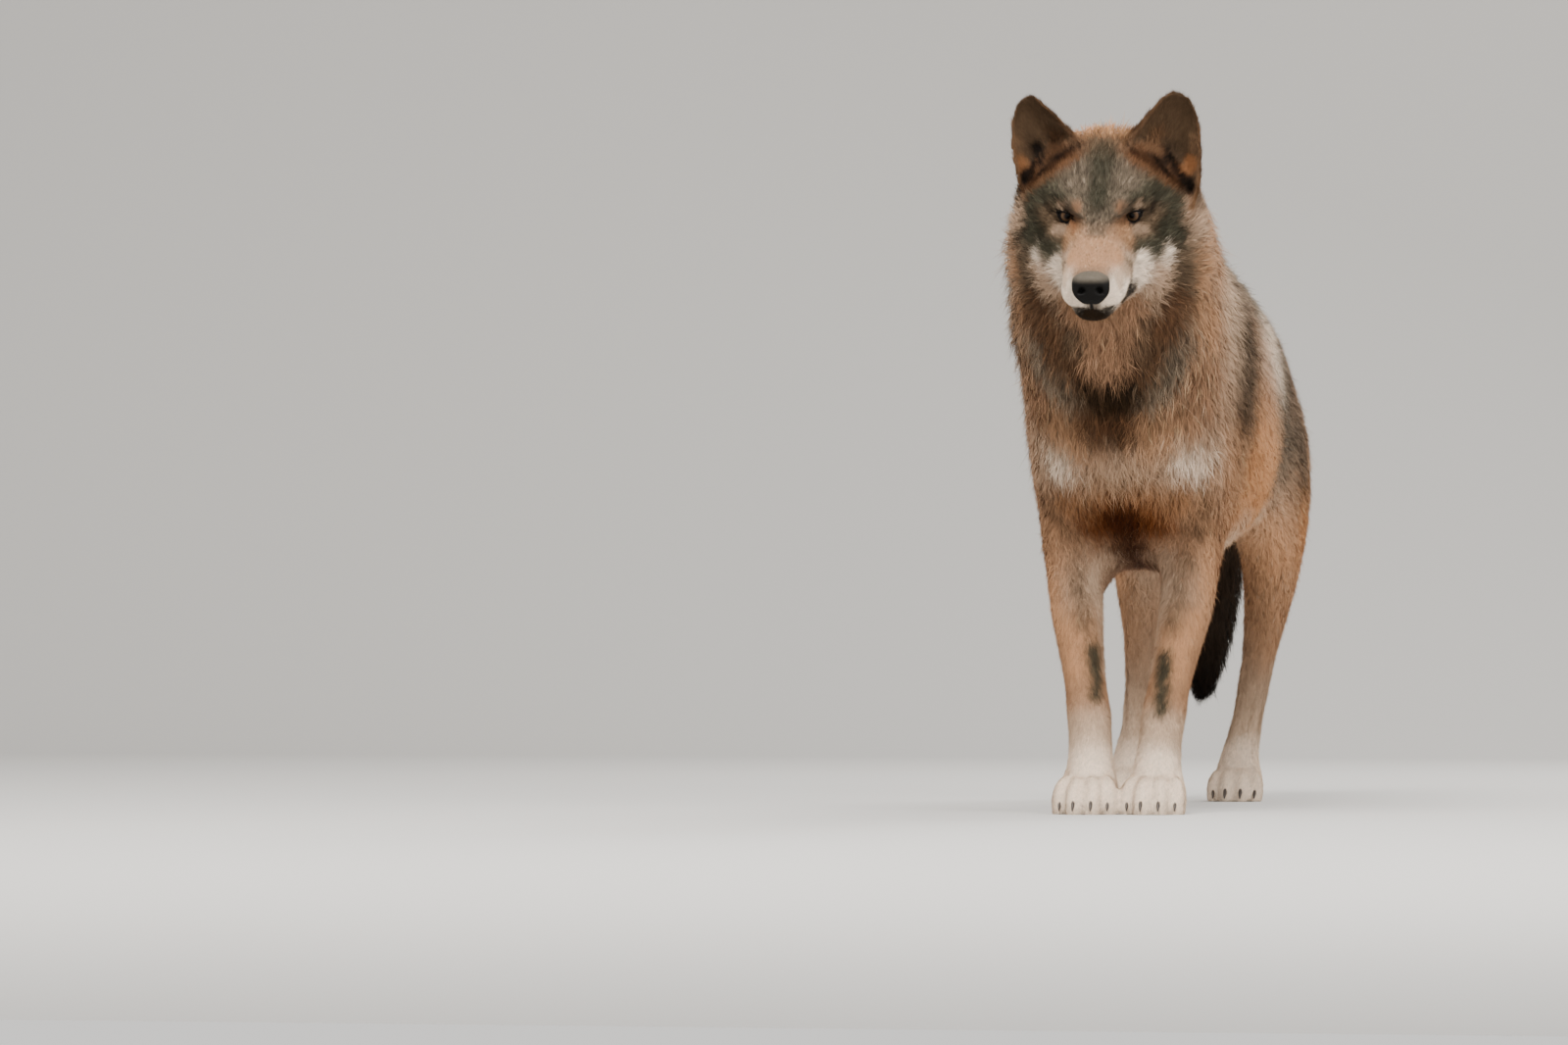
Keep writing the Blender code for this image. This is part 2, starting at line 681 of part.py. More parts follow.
def loose_parts(obj):
    """Splits obj into its loose parts and removes it."""
    shape = bmesh.new()
    shape.from_mesh(obj.data)
    shape.verts.ensure_lookup_table()
    seen, parts = set(), []
    for start in shape.verts:
        if start.index in seen:
            continue
        group, todo = [], [start]
        seen.add(start.index)
        while todo:
            v = todo.pop()
            group.append(v)
            for edge in v.link_edges:
                other = edge.other_vert(v)
                if other.index not in seen:
                    seen.add(other.index)
                    todo.append(other)
        index = {v.index: i for i, v in enumerate(group)}
        faces = [
            tuple(index[v.index] for v in face.verts) for face in shape.faces if face.verts[0].index in index
        ]
        parts.append(([v.co.copy() for v in group], faces))
    shape.free()
    remove(obj)
    return parts


def grown(loft, by):
    """The same loft with its skin moved outwards."""
    obj = add("grown", *loft)
    shape = bmesh.new()
    shape.from_mesh(obj.data)
    shape.normal_update()
    moved = [v.co + v.normal * by for v in shape.verts]
    shape.free()
    remove(obj)
    return np.array([tuple(p) for p in moved]), loft[1]


def largest(name, obj):
    """obj without its smaller loose parts, under the given name."""
    points, faces = max(loose_parts(obj), key=lambda part: len(part[0]))
    return add(name, points, faces)


def copied(obj):
    made = obj.copy()
    made.data = obj.data.copy()
    bpy.context.scene.collection.objects.link(made)
    return made


def dent(obj, centre, radii, depth, place):
    """Pushes the skin back along the Y axis of the frame, most at the centre and fading over the radii."""
    back = (place.to_3x3() @ Vector((0, 1, 0))) * depth
    inverse = place.inverted()
    for v in obj.data.vertices:
        p = inverse @ v.co
        far = sum(((p[i] - centre[i]) / radii[i]) ** 2 for i in range(3))
        if far < 9:
            v.co += back * math.exp(-far)


def part_body(body):
    """Cuts the body into its parts and returns {name: object}."""
    made = {}
    for name, loft in zone_lofts().items():
        inner, outer = add("inner", *loft), add("outer", *grown(loft, GAP))
        made[name] = largest(name, boolean(copied(body), inner, "INTERSECT"))
        body = largest("trunk", boolean(body, outer, "DIFFERENCE"))
        remove(inner, outer)
    made["trunk"] = body
    return made


def ball(name, centre, radius):
    mesh = bpy.data.meshes.new(name)
    shape = bmesh.new()
    bmesh.ops.create_uvsphere(shape, u_segments=14, v_segments=9, radius=radius)
    bmesh.ops.rotate(shape, verts=shape.verts, matrix=Matrix.Rotation(math.pi / 2 + HEAD_PITCH, 3, "X"))
    bmesh.ops.translate(shape, verts=shape.verts, vec=centre)
    shape.to_mesh(mesh)
    shape.free()
    obj = bpy.data.objects.new(name, mesh)
    bpy.context.scene.collection.objects.link(obj)
    return obj


def set_in_head(head, part, seat):
    """Cuts the seat of a part out of the head."""
    boolean(head, seat, "DIFFERENCE")
    remove(seat)
    return largest("head", head)


def dress(parts):
    """Puts the ears and eyes into the head and the claws on the paws."""
    frame = head_matrix()
    for side, s in SIDES.items():
        shape = ear(side)
        if side == "left":
            nick = box("nick", frame @ Vector(NICK_PLACE), NICK_SIZE, NICK_TURN)
            whole = boolean(add("whole", *shape), nick, "DIFFERENCE")
            remove(nick)
            parts["ear_left"] = largest("ear_left", whole)
        else:
            parts["ear_right"] = add("ear_right", *shape)
        parts["head"] = set_in_head(parts["head"], parts["ear_" + side], add("seat", *grown(shape, EAR_GAP)))
        centre = frame @ Vector((s * EYE_OUT, EYE_BACK + EYE_RADIUS, EYE_UP))
        parts["eye_" + side] = ball("eye_" + side, centre, EYE_RADIUS)
        seat = ball("seat", centre, EYE_RADIUS + GAP)
        parts["head"] = set_in_head(parts["head"], parts["eye_" + side], seat)
        for kind, x, y, size in (
            ("fore", FORE_FEET[side], -0.004 + FORE_STEP[side], 1.0),
            ("hind", HIND_FEET[side], 0.606 + HIND_STEP[side], 0.92),
        ):
            paw = parts[kind + "_paw_" + side]
            for points, faces in claws(x, y, size):
                claw = add("claw", points, faces)
                boolean(paw, claw, "UNION")
                remove(claw)
            parts[kind + "_paw_" + side] = largest(kind + "_paw_" + side, paw)


# ---------------------------------------------------------------- finishing
COLOURS = {
    "coat": (0.33, 0.24, 0.17),
    "pale": (0.62, 0.54, 0.44),
    "dark": (0.07, 0.055, 0.045),
    "nose": (0.025, 0.024, 0.025),
    "eye": (0.30, 0.17, 0.06),
}


def finish(name, obj):
    """Cleans, triangulates, shades and paints one part."""
    obj.name = obj.data.name = name
    shape = bmesh.new()
    shape.from_mesh(obj.data)
    bmesh.ops.remove_doubles(shape, verts=shape.verts, dist=0.00002)
    bmesh.ops.dissolve_degenerate(shape, edges=shape.edges, dist=0.00002)
    if not name.startswith("ear"):
        bmesh.ops.dissolve_limit(shape, angle_limit=FLAT_ANGLE, verts=shape.verts, edges=shape.edges)
    bmesh.ops.triangulate(shape, faces=shape.faces)
    bmesh.ops.recalc_face_normals(shape, faces=shape.faces)
    for face in shape.faces:
        face.smooth = True
    for edge in shape.edges:
        edge.smooth = len(edge.link_faces) == 2 and edge.calc_face_angle(0) < math.radians(50)
    shape.to_mesh(obj.data)
    shape.free()
    kind = "nose" if name == "nose" else "eye" if name.startswith("eye") else "coat"
    if "paw" in name:
        kind = "pale"
    if name == "tail" or name.startswith("ear"):
        kind = "dark"
    obj.data.materials.clear()
    obj.data.materials.append(material(name + "_" + kind, COLOURS[kind], 0.35 if kind in ("nose", "eye") else 0.85))


def recentre(parts):
    """Moves everything so that the middle of the footprint of the whole is at x = y = 0."""
    points = np.array([tuple(v.co) for obj in parts.values() for v in obj.data.vertices])
    low, high = points.min(0), points.max(0)
    shift = Vector((-(low[0] + high[0]) / 2, -(low[1] + high[1]) / 2, -low[2]))
    for obj in parts.values():
        obj.data.transform(Matrix.Translation(shift))
    print("SHIFT", tuple(shift), "SIZE", high - low)


def main():
    for obj in list(bpy.data.objects):
        bpy.data.objects.remove(obj)
    parts = part_body(fused_body())
    dress(parts)
    for name, obj in parts.items():
        finish(name, obj)
    recentre(parts)


main()
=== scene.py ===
"""The looks of a life-size grey wolf: one skin under a winter coat of mesh tufts, with eyes, nose pad, claws.

Metres, +Z up. The wolf faces -Y and its left side is at +X. The form is lofted from the same named sizes as
the solids, fused, and drawn in by the depth of the coat. Tables of places are in millimetres: those of the
head in the head frame (out to a side, back from the nose tip, up), those of the body in the body frame.
"""

import math

import bmesh
import bpy
import numpy as np
from mathutils import Matrix, Vector
from mathutils.bvhtree import BVHTree
from mathutils.kdtree import KDTree


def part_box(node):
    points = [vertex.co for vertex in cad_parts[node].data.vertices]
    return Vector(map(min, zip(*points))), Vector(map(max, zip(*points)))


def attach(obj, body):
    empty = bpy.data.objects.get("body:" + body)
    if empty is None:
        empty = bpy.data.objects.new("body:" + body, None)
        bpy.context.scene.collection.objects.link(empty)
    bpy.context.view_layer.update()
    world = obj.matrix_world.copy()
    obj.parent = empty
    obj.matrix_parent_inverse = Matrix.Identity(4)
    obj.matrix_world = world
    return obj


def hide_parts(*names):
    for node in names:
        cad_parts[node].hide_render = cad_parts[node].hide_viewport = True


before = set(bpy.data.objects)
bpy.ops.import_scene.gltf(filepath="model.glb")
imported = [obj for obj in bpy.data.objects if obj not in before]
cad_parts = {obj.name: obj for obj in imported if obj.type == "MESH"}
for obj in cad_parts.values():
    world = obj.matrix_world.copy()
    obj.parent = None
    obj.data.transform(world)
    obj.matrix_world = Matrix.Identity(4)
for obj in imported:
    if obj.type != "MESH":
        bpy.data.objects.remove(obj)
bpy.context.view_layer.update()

# ---------------------------------------------------------------- driving sizes
MM = 1000  # millimetres in a metre
RING_POINTS = 32
SUBSTEPS = 5  # rings from one station to the next
HEAD_PITCH = math.radians(21.5)  # muzzle below the level
HEAD_YAW = math.radians(3.1)  # towards the wolf's left
EYES_MIDPOINT = Vector((0.0046, -0.245, 0.656))
EYE_BACK, EYE_UP, EYE_OUT = 0.138, 0.052, 0.0372  # front of the eye, from the nose tip
EYE_RADIUS = 0.0125
HIPS_SHIFT = 0.024  # the hips stand over the left hind foot
HIND_SIZE = 0.92  # a hind foot's size, as a share of a fore foot's
SIDES = {"left": 1, "right": -1}
# Each foot's x, and how far behind its pad's usual place it stands
FORE_FEET = {"left": (0.034, 0.000), "right": (-0.041, -0.006)}
HIND_FEET = {"left": (0.050, 0.000), "right": (-0.082, 0.012)}
FORE_PAD, HIND_PAD = -0.004, 0.606  # the usual y of a pad's middle


# ---------------------------------------------------------------- lofting tools
def smooth_rows(rows, substeps=SUBSTEPS):
    """Catmull-Rom rows through the given rows of numbers."""
    rows = np.array(rows, float)
    ends = np.vstack([2 * rows[0] - rows[1], rows, 2 * rows[-1] - rows[-2]])
    made = []
    for i in range(1, len(ends) - 2):
        before, here, there, after = ends[i - 1 : i + 3]
        for t in np.arange(substeps) / substeps:
            made.append(
                here
                + 0.5 * t * (there - before)
                + t * t * (before - 2.5 * here + 2 * there - 0.5 * after)
                + t**3 * (1.5 * (here - there) + 0.5 * (after - before))
            )
    made.append(rows[-1])
    return np.array(made)


def skin_rings(rings):
    """(points, faces) of a closed tube through the rings, with a point at each end."""
    count = len(rings[0])
    points = np.vstack([rings[0].mean(0), *rings, rings[-1].mean(0)])
    last = len(points) - 1
    faces = []
    for k in range(count):
        n = (k + 1) % count
        faces.append((0, 1 + n, 1 + k))
        for r in range(len(rings) - 1):
            low, high = 1 + r * count, 1 + (r + 1) * count
            faces.append((low + k, low + n, high + n, high + k))
        faces.append((last, last - count + k, last - count + n))
    return points, faces


def ring_shape(points, power):
    """How far across and along each point of a superellipse lies."""
    turn = np.arange(points) * 2 * math.pi / points
    return tuple(np.sign(wave) * np.abs(wave) ** (2 / power) for wave in (np.cos(turn), np.sin(turn)))


def placed_tube(rings, place):
    """The closed tube through the rings, taken to the body frame by place where it is given."""
    points, faces = skin_rings(rings)
    if place is not None:
        points = np.array([place @ Vector(p) for p in points])
    return points, faces


def slices(rows, power, place=None):
    """A loft whose slices lie across the X axis.

    A row is (y, z of the upper edge, y, z of the lower edge, x, half width) in millimetres, and then how high
    the widest level is, as a share of the height.
    """
    across, along = ring_shape(RING_POINTS, power)
    rings = []
    for y1, z1, y2, z2, x, half, share in smooth_rows([(*np.divide(row[:6], MM), row[6]) for row in rows]):
        upper, lower = np.array([0, y1, z1]), np.array([0, y2, z2])
        middle = lower + (upper - lower) * share
        arm = np.where((along > 0)[:, None], upper - middle, middle - lower)
        ring = middle + along[:, None] * arm
        ring[:, 0] = x + across * half
        rings.append(ring)
    return placed_tube(rings, place)


def limb(rows, power=2.0, place=None, ring_points=RING_POINTS, substeps=SUBSTEPS):
    """A loft round a path. A row is (x, y, z, half width, half depth); its ring lies across the path."""
    rows = smooth_rows(rows, substeps)
    across, along = ring_shape(ring_points, power)
    rings = []
    for (x, y, z, half, depth), (_, dy, dz) in zip(rows, np.gradient(rows[:, :3], axis=0)):
        run = math.hypot(dy, dz) or 1.0
        arm = np.array([0, -dz, dy]) * depth / run
        rings.append(np.array([x, y, z]) + across[:, None] * [half, 0, 0] + along[:, None] * arm)
    return placed_tube(rings, place)


# ---------------------------------------------------------------- the wolf's form
# Slices in the body frame: (y, z of the upper edge, y, z of the lower edge, x, half width, widest level)
TRUNK = [
    (-100, 500, -104, 420, 0, 30, 0.50),
    (-85, 560, -94, 385, 0, 70, 0.50),
    (-50, 612, -64, 342, 0, 100, 0.50),
    (10, 655, 0, 302, 0, 120, 0.52),
    (80, 675, 80, 276, 2, 129, 0.53),
    (180, 662, 180, 266, 5, 136, 0.55),
    (300, 640, 300, 274, 8, 134, 0.55),
    (420, 622, 410, 302, 14, 122, 0.54),
    (520, 614, 510, 338, 18, 106, 0.52),
    (600, 600, 600, 358, HIPS_SHIFT * MM, 97, 0.52),
    (655, 576, 665, 390, HIPS_SHIFT * MM, 82, 0.52),
    (695, 540, 702, 435, HIPS_SHIFT * MM, 50, 0.52),
]
NECK = [
    (140, 655, 60, 310, 3, 108, 0.56),
    (80, 685, -50, 340, 2, 118, 0.52),
    (20, 712, -112, 392, 1, 123, 0.48),
    (-40, 738, -156, 446, 1, 123, 0.46),
    (-85, 756, -180, 496, 2, 118, 0.46),
    (-128, 762, -196, 538, 3, 112, 0.46),
    (-168, 752, -206, 566, 4, 98, 0.48),
    (-190, 730, -214, 588, 4, 68, 0.50),
]
# Slices in the head frame: the cranium with its cheeks, the nose with lips and bridge, the chin with the jaw
SKULL = [
    (85, 40, 85, -20, 0, 24, 0.50),
    (104, 50, 110, -30, 0, 36, 0.48),
    (122, 62, 132, -40, 0, 50, 0.46),
    (138, 78, 152, -48, 0, 66, 0.44),
    (156, 93, 174, -56, 0, 84, 0.43),
    (178, 105, 194, -62, 0, 96, 0.43),
    (204, 116, 214, -66, 0, 103, 0.43),
    (232, 123, 236, -68, 0, 104, 0.43),
    (262, 116, 260, -60, 0, 94, 0.44),
    (284, 70, 280, -30, 0, 45, 0.50),
]
MUZZLE = [
    (1.5, 22, 2, 2, 0, 14, 0.60),
    (5, 27.5, 6, -6, 0, 20.5, 0.56),
    (14, 30.5, 12, -13, 0, 27, 0.48),
    (28, 32.5, 24, -17, 0, 32, 0.42),
    (48, 36, 45, -19.5, 0, 35, 0.40),
    (75, 42, 70, -22.5, 0, 36.2, 0.40),
    (100, 50, 95, -26, 0, 40, 0.40),
    (125, 61, 120, -32, 0, 45, 0.40),
    (155, 72, 150, -40, 0, 48, 0.45),
]
JAW = [
    (14, -12, 16, -22, 0, 11, 0.60),
    (19, -6, 22, -29, 0, 19, 0.60),
    (38, 0, 42, -33.5, 0, 25, 0.60),
    (70, 0, 75, -37, 0, 31, 0.60),
    (105, 0, 110, -43, 0, 41, 0.60),
    (140, 0, 150, -52, 0, 53, 0.60),
    (180, 0, 190, -58, 0, 62, 0.60),
]
# Limbs of the left side, in the head frame: (out, back, up, half width, half depth)
# The cheek's ruff below and behind the eye, the bulge that carries the ear, and the ridge over the eye
CHEEK = [
    (34, 98, 8, 5, 8),
    (38, 114, 6, 13, 20),
    (45, 134, 4, 23, 34),
    (54, 158, -1, 34, 50),
    (62, 188, -6, 42, 64),
    (66, 220, -6, 45, 72),
    (64, 255, -4, 40, 66),
    (58, 280, 0, 24, 40),
]
EAR_ROOT = [
    (30, 224, 112, 8, 12),
    (48, 225, 103, 14, 19),
    (68, 224, 84, 16, 23),
    (83, 222, 58, 16, 24),
    (89, 222, 30, 13, 24),
    (88, 224, 5, 7, 14),
]
BROW = [
    (14, 116, 55, 8, 6),
    (26, 133, 65, 12, 9),
    (39, 148, 71, 14, 10),
    (53, 162, 72, 12, 10),
    (64, 177, 68, 9, 8),
]
# The same in the body frame. The thigh and the tail are measured out from the middle of the hips.
SHOULDER = [
    (56, 120, 612, 30, 40),
    (82, 95, 560, 48, 82),
    (88, 62, 490, 46, 96),
    (85, 46, 425, 43, 92),
    (78, 56, 365, 38, 74),
    (72, 64, 320, 34, 56),
]
THIGH = [
    (44, 585, 548, 24, 50),
    (58, 588, 510, 38, 90),
    (70, 580, 455, 46, 116),
    (77, 560, 395, 48, 110),
    (82, 542, 340, 45, 88),
    (82, 545, 295, 38, 62),
    (80, 552, 262, 24, 36),
]
TAIL = [
    (0, 640, 560, 30, 30),
    (0, 690, 535, 37, 36),
    (-4, 728, 485, 44, 40),
    (-12, 748, 415, 50, 46),
    (-22, 755, 340, 54, 50),
    (-30, 754, 260, 52, 48),
    (-34, 748, 185, 42, 38),
    (-36, 742, 130, 26, 24),
    (-37, 738, 95, 8, 8),
]
# Legs: (share of the foot's x, out, back, share of the foot's step, up, half width, half depth)
FORE_LEG = [
    (0, 74, 50, 0, 400, 40, 66),
    (0, 74, 60, 0, 340, 37, 58),
    (0, 72, 60, 0, 300, 34.5, 50),
    (0.25, 74, 50, 0.3, 250, 32.5, 37),
    (0.45, 72, 34, 0.5, 195, 27.2, 28.5),
    (0.70, 72, 24, 0.7, 148, 23.8, 24.5),
    (0.85, 70, 19, 0.9, 112, 25.2, 26.2),
    (0.95, 70, 12, 1, 80, 24.5, 23.5),
    (1, 70, 4, 1, 52, 26.8, 24),
    (1, 70, -4, 1, 32, 32, 29),
    (1, 70, -6, 1, 14, 33.5, 31),
    (1, 70, -4, 1, -4, 30, 28),
]
HIND_LEG = [
    (0, 80, 540, 0, 390, 42, 85),
    (0, 80, 520, 0, 335, 43, 80),
    (0.06, 80, 530, 0.2, 285, 38, 63),
    (0.24, 80, 573, 0.5, 235, 30.5, 46),
    (0.46, 80, 612, 0.8, 192, 24.5, 34),
    (0.64, 80, 634, 1, 158, 23.4, 30),
    (0.80, 80, 636, 1, 120, 20.8, 24),
    (0.92, 80, 630, 1, 82, 20.2, 21.5),
    (1, 80, 620, 1, 52, 23.2, 22.5),
    (1, 80, 608, 1, 30, 28.5, 28),
    (1, 80, 603, 1, 13, 30, 29),
    (1, 80, 604, 1, -4, 27, 26),
]
TOES = ((-0.0265, 0.042), (-0.0098, 0.056), (0.0098, 0.056), (0.0265, 0.042))  # out and reach of each
# The ears, in the head frame: (out, back, up) of the outer edge, the same of the inner edge, depth of the cup
EAR_ROWS = {
    "right": [
        (-84, 186, 48, -14, 196, 92, 26),
        (-94, 190, 71, -21, 200, 112, 30),
        (-99, 198, 97, -33, 206, 126, 29),
        (-102, 207, 118, -47, 213, 139, 23),
        (-101, 215, 134, -59, 219, 149, 16),
        (-97, 220, 149, -70, 223, 158, 9),
        (-90, 223, 159, -78, 225, 163, 4),
    ],
    "left": [
        (94, 184, 36, 16, 196, 98, 26),
        (105, 188, 58, 24, 200, 119, 30),
        (108, 198, 84, 36, 206, 132, 29),
        (108, 207, 109, 47, 213, 143, 23),
        (106, 215, 130, 57, 219, 153, 16),
        (100, 221, 148, 66, 223, 160, 9),
        (92, 224, 160, 76, 225, 166, 4),
    ],
}


def head_matrix():
    """Head frame to body frame: X to the wolf's left, Y back from the nose tip, Z up from the lips' line."""
    turn = Matrix.Rotation(HEAD_YAW, 4, "Z") @ Matrix.Rotation(HEAD_PITCH, 4, "X")
    eyes = turn @ Vector((0, EYE_BACK, EYE_UP))
    return Matrix.Translation(EYES_MIDPOINT - eyes) @ turn


def sided(rows, side, middle=0.0):
    """Limb rows in metres for one side, from a table of the left side."""
    return [(middle + SIDES[side] * out / MM, *np.divide(rest, MM)) for out, *rest in rows]


def leg(rows, side, foot, middle, power):
    """A leg from a table of the left one. It hangs out from the middle at its top and stands on its foot."""
    foot_x, step = foot
    made = []
    for share, out, back, moved, *rest in rows:
        top = middle + SIDES[side] * out / MM
        made.append((top + (foot_x - top) * share, back / MM + moved * step, *np.divide(rest, MM)))
    return limb(made, power)


def toes(foot, pad, size):
    """The four toes of a foot. The two middle toes reach further forward."""
    x, y = foot[0], pad + foot[1]
    made = []
    for out, reach in TOES:
        reach, out = reach * size, out * size
        root = 0.45 * out
        rows = [
            (x + root, y, 0.040 * size, 0.0085 * size, 0.0080 * size),
            (x + 0.6 * (root + out), y - 0.55 * reach, 0.033 * size, 0.0102 * size, 0.0100 * size),
            (x + out, y - 0.80 * reach, 0.021 * size, 0.0110 * size, 0.0120 * size),
            (x + out * 1.02, y - 0.93 * reach, 0.009 * size, 0.0102 * size, 0.0110 * size),
            (x + out * 1.02, y - 0.90 * reach, -0.003, 0.0080 * size, 0.0080 * size),
        ]
        made.append(limb(rows))
    return made


def wolf_lofts():
    """Every loft of the body without the ears, as (points, faces)."""
    head = head_matrix()
    lofts = [slices(TRUNK, 2.35), slices(NECK, 2.15)]
    lofts += [slices(SKULL, 2.15, head), slices(MUZZLE, 2.4, head), slices(JAW, 2.2, head)]
    lofts += [limb(sided(TAIL, "left", HIPS_SHIFT))]
    for side in SIDES:
        lofts += [limb(sided(rows, side), place=head) for rows in (CHEEK, BROW, EAR_ROOT)]
        lofts += [limb(sided(SHOULDER, side)), leg(FORE_LEG, side, FORE_FEET[side], 0.0, 2.15)]
        lofts += [limb(sided(THIGH, side, HIPS_SHIFT))]
        lofts += [leg(HIND_LEG, side, HIND_FEET[side], HIPS_SHIFT, 2.1)]
        lofts += toes(FORE_FEET[side], FORE_PAD, 1.0)
        lofts += toes(HIND_FEET[side], HIND_PAD, HIND_SIZE)
    return lofts


# ---------------------------------------------------------------- frames and small tools
def smoothstep(low, high, x):
    t = np.clip((x - low) / (high - low), 0, 1)
    return t * t * (3 - 2 * t)


def unit(v):
    return v / np.maximum(np.linalg.norm(v, axis=-1, keepdims=True), 1e-12)


def bell(x, width):
    """1 where x is 0, fading to 0 over the width."""
    return np.exp(-((x / width) ** 2))


def mixed(start, end, share):
    """start where share is 0, end where it is 1."""
    return start * (1 - share) + end * share


HEAD = np.array(head_matrix())
HEAD_ORIGIN, HEAD_AXES = HEAD[:3, 3], HEAD[:3, :3]


def to_head(points):
    return (points - HEAD_ORIGIN) @ HEAD_AXES


def from_head(points):
    return np.asarray(points) @ HEAD_AXES.T + HEAD_ORIGIN


def ball_centre(side):
    return np.array([SIDES[side] * EYE_OUT, EYE_BACK + EYE_RADIUS, EYE_UP])


def row_shift():
    """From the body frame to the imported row's frame, read off the left eye."""
    low, high = (np.array(corner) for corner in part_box("eye_left"))
    made = (low + high) / 2 - from_head(ball_centre("left"))
    made[2] = 0.0
    return made


SHIFT = row_shift()


def colour(red, green, blue):
    return np.array([red, green, blue])


CREAM = colour(0.88, 0.73, 0.585)
PALE = colour(0.52, 0.37, 0.255)
BUFF = colour(0.42, 0.285, 0.192)
TAN = colour(0.39, 0.214, 0.116)
FAWN = colour(0.30, 0.165, 0.094)
GOLD = colour(0.58, 0.30, 0.150)
ORANGE = colour(0.42, 0.190, 0.078)
RUST = colour(0.10, 0.026, 0.006)
# The next two colours are painted shade under the body
UMBER_SHADE = colour(0.092, 0.024, 0.003)
EMBER_SHADE = colour(0.020, 0.0040, 0.0004)
BROWN = colour(0.088, 0.040, 0.019)
GREYBROWN = colour(0.085, 0.057, 0.035)
SILVER = colour(0.18, 0.140, 0.101)
GREY = colour(0.105, 0.082, 0.059)
MOSS = colour(0.042, 0.039, 0.026)
SMOKE = colour(0.013, 0.012, 0.007)
DARK = colour(0.018, 0.010, 0.0045)
BLACK = colour(0.003, 0.002, 0.0015)

# Tones of the ears, with painted shade in the right ear's cup and painted shadow along the seam
EAR_INSIDE = colour(0.080, 0.049, 0.028)
EAR_BACK = colour(0.12, 0.062, 0.030)
# painted shade: the right ear's cup is a darker copy of the left's, for its hollow in shadow
EAR_CUP_SHADED_RIGHT = colour(0.040, 0.019, 0.009)
EAR_CUP_LEFT = colour(0.100, 0.052, 0.027)
EAR_EDGE = colour(0.16, 0.09, 0.05)
EAR_LOBE = colour(0.23, 0.100, 0.042)
EAR_LOBE_LEFT = colour(0.20, 0.084, 0.034)
# painted shadow where the ear's front meets the head
EAR_SEAM_SHADE = colour(0.020, 0.008, 0.003)
EAR_ARC = colour(0.10, 0.047, 0.022)

# ---------------------------------------------------------------- the coat's lie, by place
# Head: (out, back, up), hair length, coat depth in millimetres, colour, grizzle
HEAD_COAT = [
    ((0, 12, 29), 3, 0.6, GREY, 0.2),
    ((0, 40, 34), 4, 1.0, TAN, 0.2),
    ((0, 75, 42), 5, 1.4, TAN, 0.3),
    ((0, 103, 54), 7, 2.0, GREY, 0.8),
    ((0, 135, 74), 9, 3.0, MOSS, 0.7),
    ((0, 165, 97), 13, 4.0, MOSS, 0.7),
    ((24, 160, 92), 12, 4.0, GREY, 0.9),
    ((0, 200, 115), 13, 5, GREYBROWN, 0.7),
    ((0, 240, 122), 19, 9, ORANGE, 0.4),
    ((22, 20, 0), 4, 1.0, CREAM, 0.1),
    ((30, 45, 0), 5, 1.2, CREAM, 0.1),
    ((26, 60, 30), 5, 1.2, TAN, 0.2),
    ((35, 80, 8), 7, 1.8, PALE, 0.3),
    ((38, 95, -12), 9, 2.5, CREAM, 0.2),
    ((30, 75, -22), 7, 2.0, DARK, 0.3),
    ((12, 18, -14), 4, 1.0, BLACK, 0.1),
    ((14, 25, -28), 6, 1.8, DARK, 0.4),
    ((20, 60, -34), 10, 3.0, BUFF, 0.4),
    ((30, 100, -42), 17, 6.0, BUFF, 0.4),
    ((30, 140, -56), 20, 9, FAWN, 0.3),
    ((26, 122, 48), 4, 1.2, BROWN, 0.3),
    ((23, 122, 66), 7, 2.2, GREY, 0.4),
    ((42, 142, 70), 7, 2.2, MOSS, 0.6),
    ((53, 146, 50), 5, 1.5, GREYBROWN, 0.5),
    ((42, 128, 34), 5, 1.8, GREYBROWN, 0.4),
    ((28, 108, 36), 5, 1.6, TAN * 0.7, 0.4),
    ((50, 122, 18), 10, 3.5, MOSS, 0.7),
    ((62, 138, 14), 13, 4.5, MOSS, 0.6),
    ((34, 150, 84), 11, 4.0, GREY, 0.9),
    ((66, 165, 72), 12, 4.0, MOSS, 0.7),
    ((82, 174, 44), 16, 6.0, MOSS, 0.6),
    ((75, 155, 28), 15, 5.5, DARK, 0.5),
    ((50, 112, -8), 15, 5.0, CREAM, 0.2),
    ((66, 130, -12), 15, 5, BUFF, 0.3),
    ((85, 158, -15), 17, 7, GREYBROWN, 0.6),
    ((60, 145, -68), 20, 10, GREYBROWN, 0.5),
    ((80, 158, -45), 20, 10, GREYBROWN, 0.5),
    ((58, 132, -40), 17, 7, BUFF, 0.3),
    ((100, 185, 30), 19, 8, BUFF, 0.5),
    ((112, 192, -20), 25, 12, TAN, 0.3),
    ((108, 200, -62), 27, 14, TAN, 0.4),
    ((40, 142, -92), 24, 12, GREYBROWN, 0.5),
    ((0, 140, -80), 25, 11, FAWN, 0.3),
    ((40, 186, 100), 7, 2.5, BROWN, 0.4),
    ((75, 186, 76), 8, 2.5, BROWN, 0.4),
    ((92, 195, 45), 13, 4, DARK, 0.4),
]
